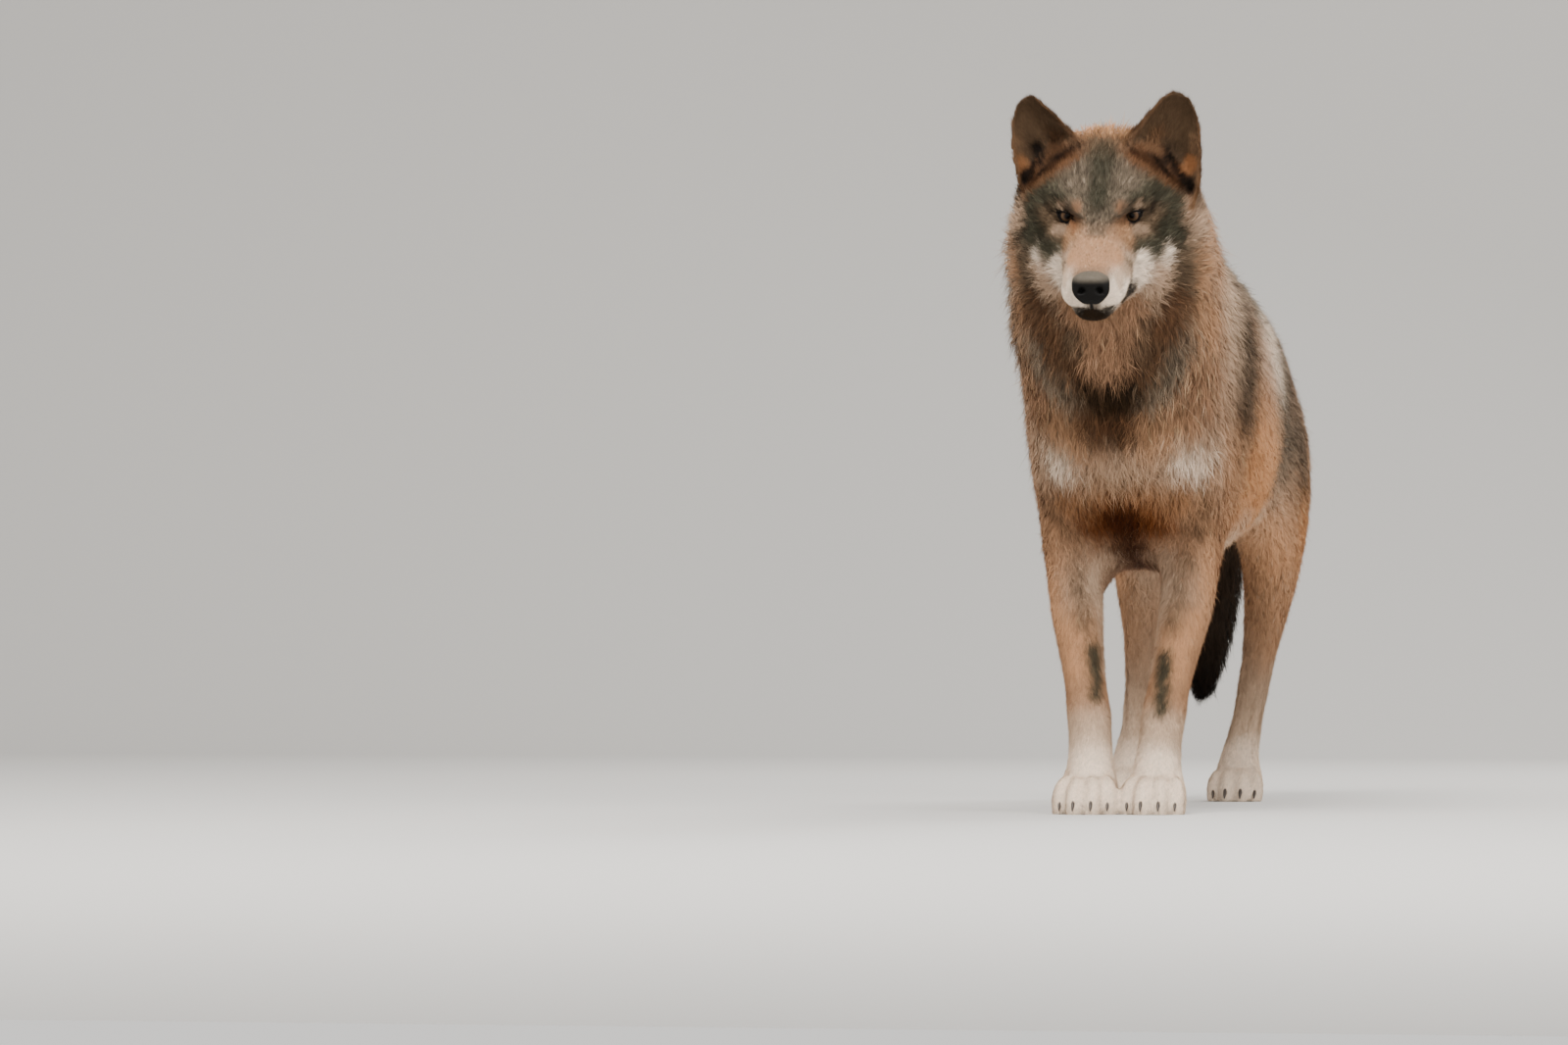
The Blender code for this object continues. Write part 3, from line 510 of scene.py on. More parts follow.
# Body: (x, y, z), lie of the hair, hair length, coat depth in millimetres, colour, grizzle
BODY_COAT = [
    ((0, -150, 755), (0, 1, -0.1), 22, 11, TAN, 0.6),
    ((0, -60, 742), (0, 1, -0.2), 29, 17, GREY, 0.9),
    ((60, -110, 740), (0.4, 0.8, -0.5), 26, 14, GREY, 0.8),
    ((105, -120, 660), (0.3, 0.5, -0.8), 26, 16, TAN, 0.5),
    ((118, -80, 600), (0.1, 0.4, -0.9), 28, 16, BUFF, 0.5),
    ((112, -130, 560), (0.15, 0.25, -0.95), 27, 16, TAN, 0.4),
    ((100, -110, 480), (0.05, 0.1, -1), 28, 16, FAWN, 0.6),
    ((60, -165, 500), (0.2, 0.05, -1), 24, 14, GREYBROWN, 0.6),
    ((0, -185, 515), (0, 0.05, -1), 25, 13, FAWN, 0.3),
    ((0, -165, 464), (0, 0, -1), 26, 14, DARK, 0.4),
    ((0, -140, 427), (0, 0.1, -1), 27, 15, BROWN, 0.4),
    ((60, -115, 420), (0.1, 0.1, -1), 27, 15, TAN, 0.4),
    ((0, -95, 375), (0, 0.2, -1), 23, 13, TAN, 0.4),
    ((66, -65, 380), (0.05, 0.2, -1), 21, 12, FAWN, 0.4),
    ((0, -55, 335), (0, 0.6, -0.8), 22, 8, RUST, 0.2),
    ((0, 60, 680), (0, 1, -0.15), 29, 17, DARK, 0.9),
    ((60, 40, 660), (0.4, 0.8, -0.5), 27, 16, GREY, 0.9),
    ((0, 180, 662), (0, 1, -0.1), 26, 14, DARK, 0.9),
    ((0, 330, 636), (0, 1, -0.1), 24, 12, DARK, 0.9),
    ((0, 470, 618), (0, 1, -0.15), 22, 11, GREYBROWN, 0.9),
    ((0, 590, 600), (0, 0.9, -0.4), 22, 10, GREYBROWN, 0.8),
    ((110, 180, 630), (0.3, 0.85, -0.4), 25, 13, GREY, 0.9),
    ((110, 300, 610), (0.3, 0.85, -0.4), 24, 11, GREY, 0.9),
    ((125, 60, 570), (0.05, 0.5, -0.85), 24, 12, PALE, 0.3),
    ((130, 60, 480), (0, 0.4, -0.9), 22, 10, BUFF, 0.3),
    ((120, 50, 400), (0, 0.3, -0.95), 20, 8, TAN, 0.3),
    ((134, 180, 500), (0, 0.85, -0.55), 23, 11, FAWN, 0.5),
    ((134, 300, 480), (0, 0.85, -0.5), 22, 10, GREY, 0.8),
    ((130, 180, 390), (0, 0.8, -0.6), 22, 9, ORANGE, 0.3),
    ((125, 300, 370), (0, 0.8, -0.55), 21, 8, ORANGE, 0.3),
    ((80, 200, 290), (0, 0.9, -0.4), 22, 7, PALE, 0.2),
    ((0, 60, 285), (0, 1, -0.1), 18, 7, RUST, 0.2),
    ((0, 200, 270), (0, 1, -0.1), 20, 7, FAWN, 0.2),
    ((0, 330, 282), (0, 1, 0), 20, 6, BUFF, 0.2),
    ((0, 430, 310), (0, 1, 0.1), 19, 5, PALE, 0.1),
    ((70, 420, 330), (0, 0.8, -0.4), 19, 7, PALE, 0.2),
    ((118, 430, 450), (0, 0.8, -0.5), 21, 8, GREY, 0.7),
    ((100, 520, 570), (0.1, 0.75, -0.65), 21, 9, GREYBROWN, 0.8),
    ((120, 580, 500), (0.05, 0.5, -0.85), 22, 8, FAWN, 0.6),
    ((130, 570, 400), (0, 0.35, -0.95), 19, 6, FAWN, 0.5),
    ((130, 540, 320), (0, 0.4, -0.9), 18, 5, ORANGE, 0.4),
    ((110, 500, 290), (0, 0.5, -0.85), 17, 4, TAN, 0.4),
    ((60, 650, 480), (0, 0.4, -0.9), 22, 10, BUFF, 0.4),
    ((90, 660, 400), (0, 0.2, -1), 22, 9, TAN, 0.3),
    ((40, 570, 340), (-0.2, 0.2, -0.95), 16, 4, PALE, 0.1),
    ((100, 610, 260), (0, 0.4, -0.9), 17, 4, TAN, 0.3),
    ((98, 610, 200), (0, 0.2, -1), 14, 3, TAN, 0.2),
    ((75, 635, 150), (0, 0.1, -1), 11, 2.1, BUFF, 0.2),
    ((55, 630, 90), (0, 0, -1), 9, 1.7, PALE, 0.1),
    ((50, 610, 45), (0, -0.6, -0.8), 7, 1.2, CREAM, 0.1),
    ((50, 570, 25), (0, -0.9, -0.4), 5, 0.9, CREAM, 0.1),
    ((78, 100, 345), (0, 0.5, -0.85), 18, 7, TAN, 0.3),
    ((95, 50, 330), (0, 0.35, -0.95), 18, 6, TAN, 0.3),
    ((55, 40, 320), (0, 0.35, -0.95), 16, 4, FAWN, 0.2),
    ((92, 50, 265), (0, 0.1, -1), 15, 3, TAN, 0.3),
    ((50, 45, 260), (0, 0.1, -1), 13, 3, BUFF, 0.2),
    ((60, 35, 200), (0, 0.05, -1), 12, 2.4, TAN, 0.2),
    ((48, 22, 140), (0, 0, -1), 9, 1.8, TAN, 0.1),
    ((40, 14, 90), (0, 0, -1), 8, 1.7, PALE, 0.1),
    ((36, 0, 50), (0, -0.5, -0.9), 7, 1.3, CREAM, 0.1),
    ((36, -30, 30), (0, -0.9, -0.4), 5, 0.9, CREAM, 0.1),
    ((24, 660, 565), (0, 0.8, -0.6), 22, 8, DARK, 0.8),
    ((22, 720, 500), (0, 0.5, -0.9), 26, 11, DARK, 0.7),
    ((14, 750, 420), (0, 0.1, -1), 28, 13, DARK, 0.4),
    ((4, 757, 330), (0, 0, -1), 29, 13, BLACK, 0.4),
    ((-6, 755, 240), (0, 0, -1), 29, 12, BLACK, 0.3),
    ((-12, 745, 160), (0, -0.05, -1), 27, 8, BLACK, 0.2),
    ((-13, 740, 110), (0, -0.05, -1), 24, 3, BLACK, 0.1),
]
MIDDLE = 25  # a place nearer the middle than this, in millimetres, has no twin on the other side
# Markings over those colours, some of them painted shade under the body: (side, places, radius in
# millimetres, colour, strength, grizzle)
BOTH, LEFT, RIGHT = 0, 1, -1
HEAD_MARKINGS = [
    # forehead, brows and eyes
    (BOTH, [(0, 112, 58), (0, 145, 84), (0, 185, 108)], 15, MOSS * 0.7, 0.6, 0.8),
    (BOTH, [(17, 118, 62), (20, 150, 88), (22, 175, 104)], 8, GREY, 0.6, 0.9),
    (BOTH, [(22, 150, 88), (34, 152, 84)], 7, SILVER, 0.35, 0.9),
    (BOTH, [(50, 158, 76), (72, 170, 62), (84, 176, 40)], 11, MOSS, 0.8, 0.7),
    (BOTH, [(63, 149, 32), (75, 163, 26), (91, 184, 12)], 11, SMOKE, 0.9, 0.5),
    (BOTH, [(22, 121, 66), (23, 125, 68)], 5.5, FAWN * 0.6, 0.9, 0.1),
    (BOTH, [(35, 135, 66), (43, 140, 64)], 5, BUFF * 0.7, 0.85, 0.2),
    (BOTH, [(27, 128, 63), (30, 130, 58), (38, 134, 57), (48, 143, 56), (57, 151, 62)], 2.6, DARK, 0.85, 0.2),
    (BOTH, [(45, 141, 52), (52, 146, 56), (61, 153, 62)], 3.6, BLACK, 0.9, 0.1),
    (BOTH, [(47, 132, 38), (36, 119, 37)], 5, BUFF * 0.6, 0.75, 0.3),
    (RIGHT, [(36, 134, 42), (32, 126, 38)], 5, GREYBROWN, 0.7, 0.5),
    (BOTH, [(31, 137, 48), (29, 130, 46), (26, 122, 43)], 3.2, BLACK, 0.85, 0.1),
    (BOTH, [(26, 122, 43), (23, 104, 40)], 5, RUST, 0.7, 0.2),
    # muzzle, lips and chin
    (BOTH, [(0, 25, 32), (0, 60, 38), (0, 88, 46)], 21, FAWN, 0.6, 0.4),
    (BOTH, [(0, 96, 49), (0, 110, 57)], 12, GREY, 0.7, 0.9),
    (BOTH, [(26, 24, 14), (30, 50, 16), (33, 72, 14)], 9, PALE * 0.85, 0.8, 0.2),
    (BOTH, [(16, 11, -4), (28, 24, -4), (33, 50, -5), (35, 70, -6)], 10, CREAM, 0.9, 0.1),
    (BOTH, [(36, 78, 20), (38, 90, 12), (36, 84, -4)], 6, GREYBROWN, 0.6, 0.5),
    (BOTH, [(33, 84, -10), (34, 95, -19), (37, 106, -19)], 9, BLACK, 0.98, 0.0),
    (BOTH, [(0, 12, -8), (12, 13, -10), (22, 18, -13)], 4.5, BLACK, 0.95, 0.0),
    (BOTH, [(22, 18, -13), (29, 48, -20), (33, 72, -23), (37, 94, -26)], 2.5, BLACK, 0.9, 0.0),
    (BOTH, [(0, 14, -18), (8, 20, -27)], 9, DARK, 0.9, 0.3),
    # cheeks
    (BOTH, [(46, 114, 22), (60, 132, 18)], 10, MOSS, 0.75, 0.7),
    (BOTH, [(72, 152, 34), (80, 162, 16)], 10, MOSS, 0.8, 0.6),
    (BOTH, [(87, 170, -10), (80, 160, -34)], 11, GREYBROWN, 0.7, 0.6),
    (BOTH, [(45, 109, 12), (45, 111, -10)], 6, CREAM, 0.85, 0.2),
    (BOTH, [(69, 142, 8), (67, 137, -2)], 6.5, CREAM, 0.8, 0.2),
    (LEFT, [(50, 113, 10), (47, 113, -9)], 8, CREAM, 0.8, 0.2),
    (LEFT, [(70, 144, 6), (69, 142, -4)], 7, CREAM, 0.7, 0.3),
    (BOTH, [(58, 126, -14), (64, 136, -30)], 13, BUFF, 0.6, 0.3),
    (BOTH, [(78, 160, -42), (64, 150, -66), (50, 155, -85)], 10, BROWN, 0.8, 0.4),
    (BOTH, [(98, 186, 40), (104, 210, 10), (108, 215, -16), (106, 215, -62)], 15, BUFF, 0.8, 0.5),
]
BODY_MARKINGS = [
    # ruff, collar and chest
    (BOTH, [(86, -175, 560), (64, -175, 520), (42, -175, 492)], 15, BROWN, 0.75, 0.5),
    (BOTH, [(26, -170, 474), (0, -163, 460)], 14, DARK, 0.8, 0.5),
    (BOTH, [(52, -153, 461), (76, -153, 486), (93, -155, 535)], 15, SILVER, 0.7, 0.9),
    (RIGHT, [(103, -131, 608), (103, -125, 574), (103, -105, 530)], 26, SILVER * 0.8, 0.8, 0.8),
    (LEFT, [(97, -138, 590), (96, -130, 570)], 16, GREYBROWN, 0.6, 0.6),
    (BOTH, [(0, -137, 421), (48, -131, 429), (78, -122, 443), (98, -110, 485)], 9, DARK, 0.55, 0.5),
    (BOTH, [(0, -190, 535), (3, -181, 500)], 18, FAWN, 0.8, 0.4),
    (LEFT, [(36, -182, 545), (28, -185, 530)], 12, FAWN, 0.8, 0.4),
    (BOTH, [(92, -30, 408), (62, -66, 398), (0, -92, 388)], 34, PALE * 0.85, 0.7, 0.4),
    (RIGHT, [(72, -60, 408), (66, -62, 392), (54, -72, 398)], 18, CREAM, 0.85, 0.15),
    (LEFT, [(84, -40, 396), (68, -62, 400)], 18, CREAM, 0.8, 0.15),
    # painted shade under the chest between the forelegs: a darkened orange
    (BOTH, [(66, -40, 352), (20, -66, 356)], 24, ORANGE * 0.55, 0.7, 0.2),
    (BOTH, [(36, -96, 396), (40, -104, 412)], 13, TAN, 0.5, 0.4),
    # painted shade: dark umber at the armpits, and nearly black along the middle of the underside
    (BOTH, [(10, -58, 346), (30, -36, 334), (44, -14, 322)], 18, UMBER_SHADE, 0.85, 0.1),
    (BOTH, [(0, -44, 342), (0, -18, 326), (0, 14, 304), (0, 90, 285)], 24, EMBER_SHADE, 0.97, 0.0),
    # shoulders and flanks
    (BOTH, [(113, 95, 572), (119, 86, 531), (121, 78, 493), (116, 48, 462)], 37, DARK, 0.97, 0.6),
    (BOTH, [(102, 345, 600), (106, 330, 569), (121, 275, 533)], 54, CREAM * 1.1, 0.97, 0.1),
    (BOTH, [(126, 257, 480), (124, 300, 411), (127, 200, 440)], 42, GOLD, 0.85, 0.3),
    # painted shade behind the elbow, where the foreleg meets the trunk
    (BOTH, [(102, 54, 345), (98, 90, 320)], 20, UMBER_SHADE, 0.6, 0.2),
    (BOTH, [(110, 460, 575), (116, 550, 499), (128, 533, 451), (135, 532, 405)], 44, GREY * 0.75, 0.85, 0.9),
    (BOTH, [(100, 440, 332), (108, 466, 297), (75, 475, 309)], 30, GOLD, 0.8, 0.3),
    # painted shade on the inner thigh, seen in the gap under the belly
    (BOTH, [(60, 500, 300), (62, 505, 265)], 24, UMBER_SHADE, 0.5, 0.2),
    (BOTH, [(100, -2, 368), (87, 0, 345), (77, 9, 323)], 13, DARK, 0.6, 0.6),
    # legs and feet
    (BOTH, [(62, 10, 290), (54, 11, 240), (48, 9, 215)], 10, GREYBROWN, 0.6, 0.6),
    (BOTH, [(98, 20, 300), (92, 22, 240), (66, 10, 200), (58, 2, 165)], 12, GOLD, 0.6, 0.2),
    (BOTH, [(40, 30, 300), (30, 30, 230), (24, 24, 165)], 11, PALE, 0.8, 0.1),
    (RIGHT, [(40, 9, 187), (37, 5, 160), (36, -2, 134)], 9, MOSS, 0.97, 0.3),
    (LEFT, [(41, 6, 178), (40, 2, 150), (39, -4, 120)], 9, MOSS, 0.97, 0.3),
    (BOTH, [(56, 600, 300), (62, 600, 200)], 20, BUFF, 0.6, 0.1),
]
# Markings round the ears, in the head frame, drawn over the ears' colours. The seam and the black lines are
# painted shadow in the grooves.
EAR_MARKINGS = [
    (BOTH, [(31, 208, 117), (44, 214, 133)], 4, FAWN * 0.7, 0.6, 0.1),
    # painted shade in the right ear's cup; the left cup keeps the plain tone
    (RIGHT, [(55, 226, 112), (52, 210, 103)], 9, EAR_CUP_SHADED_RIGHT, 0.9, 0.1),
    (LEFT, [(58, 226, 112), (53, 211, 102)], 9, EAR_CUP_LEFT, 0.9, 0.1),
    (BOTH, [(95, 219, 112), (96, 220, 103)], 7, EAR_EDGE, 0.6, 0.1),
    (BOTH, [(92, 212, 86), (88, 210, 80)], 9, EAR_LOBE, 0.9, 0.1),
    (LEFT, [(91, 219, 85), (96, 216, 80)], 8, EAR_LOBE_LEFT, 0.8, 0.1),
    # painted shadow along the seam at the ear's front foot
    (BOTH, [(34, 194, 105), (60, 186, 88), (78, 190, 73), (92, 198, 57)], 7, EAR_SEAM_SHADE, 0.9, 0.2),
    (BOTH, [(28, 184, 104), (44, 180, 97), (60, 176, 85), (76, 179, 71)], 4, EAR_ARC, 0.8, 0.3),
    # painted shadow: black in the grooves carved at the ear's foot
    (BOTH, [(72, 224, 102), (70, 213, 91), (66, 208, 90)], 7, BLACK, 0.97, 0.0),
    (BOTH, [(71, 213, 91), (79, 206, 80), (87, 203, 71), (94, 203, 62)], 8, BLACK, 0.97, 0.0),
    (BOTH, [(24, 203, 110), (37, 201, 104), (48, 198, 98), (58, 197, 92), (68, 190, 80)], 6, BLACK, 0.95, 0),
]
HEAD_EDGE, BODY_EDGE = 0.45, 0.75  # how soft a marking's edge is, as a share of its radius


# ---------------------------------------------------------------- the ears' own shape
EAR_THICKNESS = 0.0068
EAR_FOLD, EAR_FOLD_PLACE, EAR_FOLD_WIDTH = 0.0035, 0.72, 0.10  # the fold, and its place and width across


def ear_point(rows, up, across, wall):
    """A point of an ear, in the head frame.

    up: 0 at the base, 1 at the tip; across: 0 at the outer edge, 1 at the inner; wall: 0 in front, 1 behind.
    """
    place = min(up, 0.9999) * (len(rows) - 1)
    row = mixed(rows[int(place)], rows[int(place) + 1], place % 1)
    outer, inner, depth = row[:3], row[3:6], row[6]
    hump = math.sin(math.pi * across)
    cup = depth * hump**0.8
    fold = EAR_FOLD * bell(across - EAR_FOLD_PLACE, EAR_FOLD_WIDTH) * (1 - up) * (1 - wall)
    edge = EAR_THICKNESS * wall * (0.62 + 0.38 * hump**0.5)
    return outer + (inner - outer) * across + np.array([0, cup + edge - fold, -0.15 * cup])


def ear_grid(side, steps_up=30, steps_across=22):
    """[wall][up][across] points of an ear in the head frame, with the ups and acrosses."""
    rows = smooth_rows(np.divide(EAR_ROWS[side], MM), 4)
    ups, acrosses = np.linspace(0, 1, steps_up), np.linspace(0, 1, steps_across)
    grid = [[[ear_point(rows, u, a, wall) for a in acrosses] for u in ups] for wall in (0, 1)]
    return np.array(grid), ups, acrosses


def ear(side):
    """An ear as (points, faces) in the body frame: its front and back walls joined round the edge."""
    grid = ear_grid(side)[0]
    _, rows, columns, _ = grid.shape

    def at(wall, r, c):
        return (wall * rows + r) * columns + c

    faces = []
    for r in range(rows - 1):
        for c in range(columns - 1):
            faces.append((at(0, r, c), at(0, r, c + 1), at(0, r + 1, c + 1), at(0, r + 1, c)))
            faces.append((at(1, r, c), at(1, r + 1, c), at(1, r + 1, c + 1), at(1, r, c + 1)))
        for c in (0, columns - 1):
            faces.append((at(0, r, c), at(0, r + 1, c), at(1, r + 1, c), at(1, r, c)))
    for r in (0, rows - 1):
        for c in range(columns - 1):
            faces.append((at(0, r, c), at(0, r, c + 1), at(1, r, c + 1), at(1, r, c)))
    return from_head(grid.reshape(-1, 3)), faces


# ---------------------------------------------------------------- meshes
def linked(name, data):
    """A new object of the scene."""
    obj = bpy.data.objects.new(name, data)
    bpy.context.scene.collection.objects.link(obj)
    return obj


def mesh_object(name, points, faces):
    """A new object. points are in the body frame, faces are lists of corners or an array of triangles."""
    mesh = bpy.data.meshes.new(name)
    mesh.from_pydata((np.asarray(points) + SHIFT).tolist(), [], [list(map(int, f)) for f in faces])
    return linked(name, mesh)


def finished(obj, material):
    """The object with its material and smooth shading."""
    obj.data.materials.append(material)
    obj.data.shade_smooth()
    return obj


def merged(lofts):
    """One list of points and one of faces from several lofts."""
    points, faces, start = [], [], 0
    for p, f in lofts:
        points.append(np.asarray(p))
        faces += [tuple(start + i for i in face) for face in f]
        start += len(p)
    return np.vstack(points), faces


def reshaped(obj, change):
    """Runs change on the object's mesh, opened for editing."""
    shape = bmesh.new()
    shape.from_mesh(obj.data)
    change(shape)
    shape.to_mesh(obj.data)
    shape.free()


def applied(obj):
    graph = bpy.context.evaluated_depsgraph_get()
    mesh = bpy.data.meshes.new_from_object(obj.evaluated_get(graph))
    obj.modifiers.clear()
    obj.data = mesh


def read(source, name, width, kind=np.int32):
    """One property of all the source's items, as a flat array."""
    flat = np.empty(len(source) * width, kind)
    source.foreach_get(name, flat)
    return flat


def points_of(obj):
    return read(obj.data.vertices, "co", 3, float).reshape(-1, 3) - SHIFT


def put_points(obj, points):
    obj.data.vertices.foreach_set("co", (points + SHIFT).ravel())
    obj.data.update()


def triangles_of(obj):
    return read(obj.data.loops, "vertex_index", 1).reshape(-1, 3)


def edges_of(obj):
    return read(obj.data.edges, "vertices", 2).reshape(-1, 2)


def normals(points, triangles):
    a, b, c = (points[triangles[:, k]] for k in range(3))
    flat = np.cross(b - a, c - a)
    made = []
    for axis in range(3):
        made.append(sum(np.bincount(triangles[:, k], flat[:, axis], len(points)) for k in range(3)))
    return unit(np.stack(made, 1))


def relaxed(values, edges, times, share=0.5):
    """values spread evenly over the skin, as by the smoothing brush of a modeller."""
    count = len(values)
    ends = np.concatenate([edges[:, 0], edges[:, 1]])
    others = np.concatenate([edges[:, 1], edges[:, 0]])
    degree = np.maximum(np.bincount(ends, minlength=count), 1)
    flat = values.reshape(count, -1).astype(float)
    for _ in range(times):
        around = np.stack([np.bincount(ends, flat[others, k], count) for k in range(flat.shape[1])], 1)
        flat = flat + share * (around / degree[:, None] - flat)
    return flat.reshape(values.shape)


def finer(obj, chosen):
    """Splits the triangles whose corners are chosen, and keeps everything a triangle."""

    def split(shape):
        shape.verts.ensure_lookup_table()
        edges = [e for e in shape.edges if chosen[e.verts[0].index] and chosen[e.verts[1].index]]
        bmesh.ops.subdivide_edges(shape, edges=edges, cuts=1, use_grid_fill=True)
        bmesh.ops.triangulate(shape, faces=[f for f in shape.faces if len(f.verts) > 3])

    reshaped(obj, split)


# ---------------------------------------------------------------- the form under the coat
SKIN_VOXEL = 0.0023
SKIN_TRIANGLES = 112000
KEPT_HEAD_BACK = 0.25  # in front of this the skin keeps nearly all its triangles
KEPT_FEET_UP = 0.07  # and below this more of them than elsewhere


def wolf_form():
    """The outline of the whole animal as one closed mesh of triangles, finest on the head."""
    form = mesh_object("skin", *merged(wolf_lofts() + [ear(side) for side in SIDES]))
    fuse = form.modifiers.new("Fuse", "REMESH")
    fuse.mode = "VOXEL"
    fuse.voxel_size = SKIN_VOXEL
    even = form.modifiers.new("Even", "SMOOTH")
    even.factor, even.iterations = 0.5, 7
    applied(form)
    thin_out(form)
    head = to_head(points_of(form))
    finer(form, (head[:, 1] < 0.10) & (head[:, 1] > -0.02))
    for reach, with_nose in ((0.030, False), (0.0195, True)):
        head = to_head(points_of(form))
        near = (head[:, 1] < 0.012) & (head[:, 2] > -0.016) & with_nose
        for side in SIDES:
            near |= np.linalg.norm(head - ball_centre(side), axis=1) < reach
        finer(form, near)
    return form


def thin_out(form):
    """Leaves about SKIN_TRIANGLES, and takes the least away from the head and the feet."""
    points = points_of(form)
    weight = np.where(to_head(points)[:, 1] < KEPT_HEAD_BACK, 0.02, 1.0)
    weight = weight * np.where(points[:, 2] < KEPT_FEET_UP, 0.25, 1.0)
    group = form.vertex_groups.new(name="thin")
    for value in np.unique(weight):
        group.add(np.nonzero(weight == value)[0].tolist(), float(value), "REPLACE")
    thin = form.modifiers.new("Thin", "DECIMATE")
    thin.ratio = SKIN_TRIANGLES / (2 * len(form.data.polygons))
    thin.use_collapse_triangulate = True
    thin.vertex_group = "thin"
    applied(form)
    form.vertex_groups.clear()


NOSE_CORE = (0, -0.03, 0.005)  # the hair of the face points away from here
HANG = (25, 75)  # millimetres below the lips' line over which the face's hair turns to hang down


def anchor_rows():
    """Both coat tables as arrays in the body frame: places, lies, and the numbers.

    The numbers are hair length, coat depth, colour and grizzle.
    """
    nose = from_head(np.array(NOSE_CORE))
    places, lies, numbers = [], [], []
    for (out, back, up), length, depth, tint, grizzle in HEAD_COAT:
        for s in (1, -1) if out else (1,):
            place = from_head(np.array([s * out, back, up]) / MM)
            hang = smoothstep(*HANG, -to_head(place)[2] * MM)
            places.append(place)
            lies.append(unit(mixed(unit(place - nose), np.array([4 * place[0], 0, -1]), hang)))
            numbers.append((length / MM, depth / MM, *tint, grizzle))
    for (x, y, z), (fx, fy, fz), length, depth, tint, grizzle in BODY_COAT:
        for s in (1, -1) if x > MIDDLE else (1,):
            places.append(np.array([s * x, y, z]) / MM)
            lies.append(unit(np.array([s * fx, fy, fz])))
            numbers.append((length / MM, depth / MM, *tint, grizzle))
    return np.array(places), np.array(lies), np.array(numbers)


BATCH = 20000  # skin points blended at a time


def coat_fields(points):
    """Lie, hair length, coat depth, colour and grizzle at each point, blended from the tables."""
    places, lies, numbers = anchor_rows()
    head = to_head(points)
    soft = np.interp(head[:, 1], [0.10, 0.30], [0.006, 0.025])  # how far the places' values run together
    values = np.hstack([lies, numbers])
    made = np.zeros((len(points), values.shape[1]))
    for start in range(0, len(points), BATCH):
        part = slice(start, start + BATCH)
        far = ((points[part, None] - places[None]) ** 2).sum(-1)
        pull = 1 / (far + soft[part, None] ** 2) ** 2.5
        made[part] = (pull @ values) / pull.sum(1, keepdims=True)
    from_nose = unit(points - from_head(np.array(NOSE_CORE)))
    share = (1 - smoothstep(0.14, 0.21, head[:, 1])) * smoothstep(-0.055, -0.02, head[:, 2])
    lie = unit(mixed(unit(made[:, :3]), from_nose, share[:, None]))
    return lie, made[:, 3], made[:, 4], made[:, 5:8], made[:, 8]


# ---------------------------------------------------------------- sculpting the head
# (centre, radii, move) in millimetres: sockets first, then bridge, brows, cheek bones, whisker pads, lips
HEAD_BRUSHES = [
    ((37, 125, 49), (16, 30, 10), (0, 14, 0)),
    ((27, 128, 47), (8.5, 18, 8), (0.5, 9.5, 0)),
    ((0, 150, 92), (6, 40, 12), (0, 1.0, -2.0)),
    ((0, 112, 60), (12, 14, 8), (0, 0.5, -1.5)),
    ((30, 130, 72), (12, 10, 6), (0, -1.5, 2.0)),
    ((52, 132, 30), (12, 16, 8), (2.0, -2.0, 1.0)),
    ((33, 105, 26), (7, 18, 7), (-2.0, 0, -0.5)),
    ((27, 30, 2), (9, 16, 9), (1.6, -0.5, 0)),
    ((33, 62, 14), (8, 16, 10), (-1.6, 0, 0)),
    ((0, 8, -7), (1.6, 6, 7), (0, 2.2, 0)),
]
# Line in the head frame, width and depth in millimetres
EAR_GROOVES = [
    ([(62, 200, 95), (74, 198, 82), (86, 200, 68), (96, 202, 55)], 4.5, 5.0),
    ([(70, 222, 102), (66, 211, 98), (62, 200, 95)], 5.0, 4.0),
    ([(24, 200, 112), (42, 203, 107), (52, 197, 100)], 3.5, 3.0),
]
GROOVE_WAY = (0, 0.8, -0.45)
NOSTRIL = (9.5, 2.0, 13.0)
NOSTRIL_SLIT = [(11, 3, 10.5), (15, 6, 9), (18, 10, 11)]  # it curls out and down from the hole
LIP_LINE = [
    (0, 13, -13),
    (8, 14, -13.5),
    (17, 17, -15.5),
    (25, 30, -18),
    (30, 50, -21),
    (34, 72, -24),
    (38, 94, -27),
]


def mirrored(head):
    return np.hstack([np.abs(head[:, :1]), head[:, 1:]])


def pushed(head, centre, radii, move):
    """head points moved by move on both sides, most at the centre and fading over the radii."""
    side = np.sign(head[:, :1]) + (head[:, :1] == 0)
    far = (((mirrored(head) * MM - np.array(centre)) / np.array(radii)) ** 2).sum(1)
    step = np.exp(-far)[:, None] * np.array(move, float) / MM
    return head + step * np.hstack([side, np.ones_like(side), np.ones_like(side)])


def line_distance(points, line):
    """Distance of each point from a bent line, or from a single place."""
    line = np.array(line, float)
    if len(line) == 1:
        return np.linalg.norm(points - line[0], axis=1)
    best = np.full(len(points), np.inf)
    for a, b in zip(line[:-1], line[1:]):
        run = b - a
        t = np.clip(((points - a) @ run) / (run @ run), 0, 1)
        best = np.minimum(best, np.linalg.norm(points - a - t[:, None] * run, axis=1))
    return best


BALL = EYE_RADIUS * MM
EYE_TURN, EYE_RAISE, EYE_TILT = math.radians(5), math.radians(4), math.radians(21)
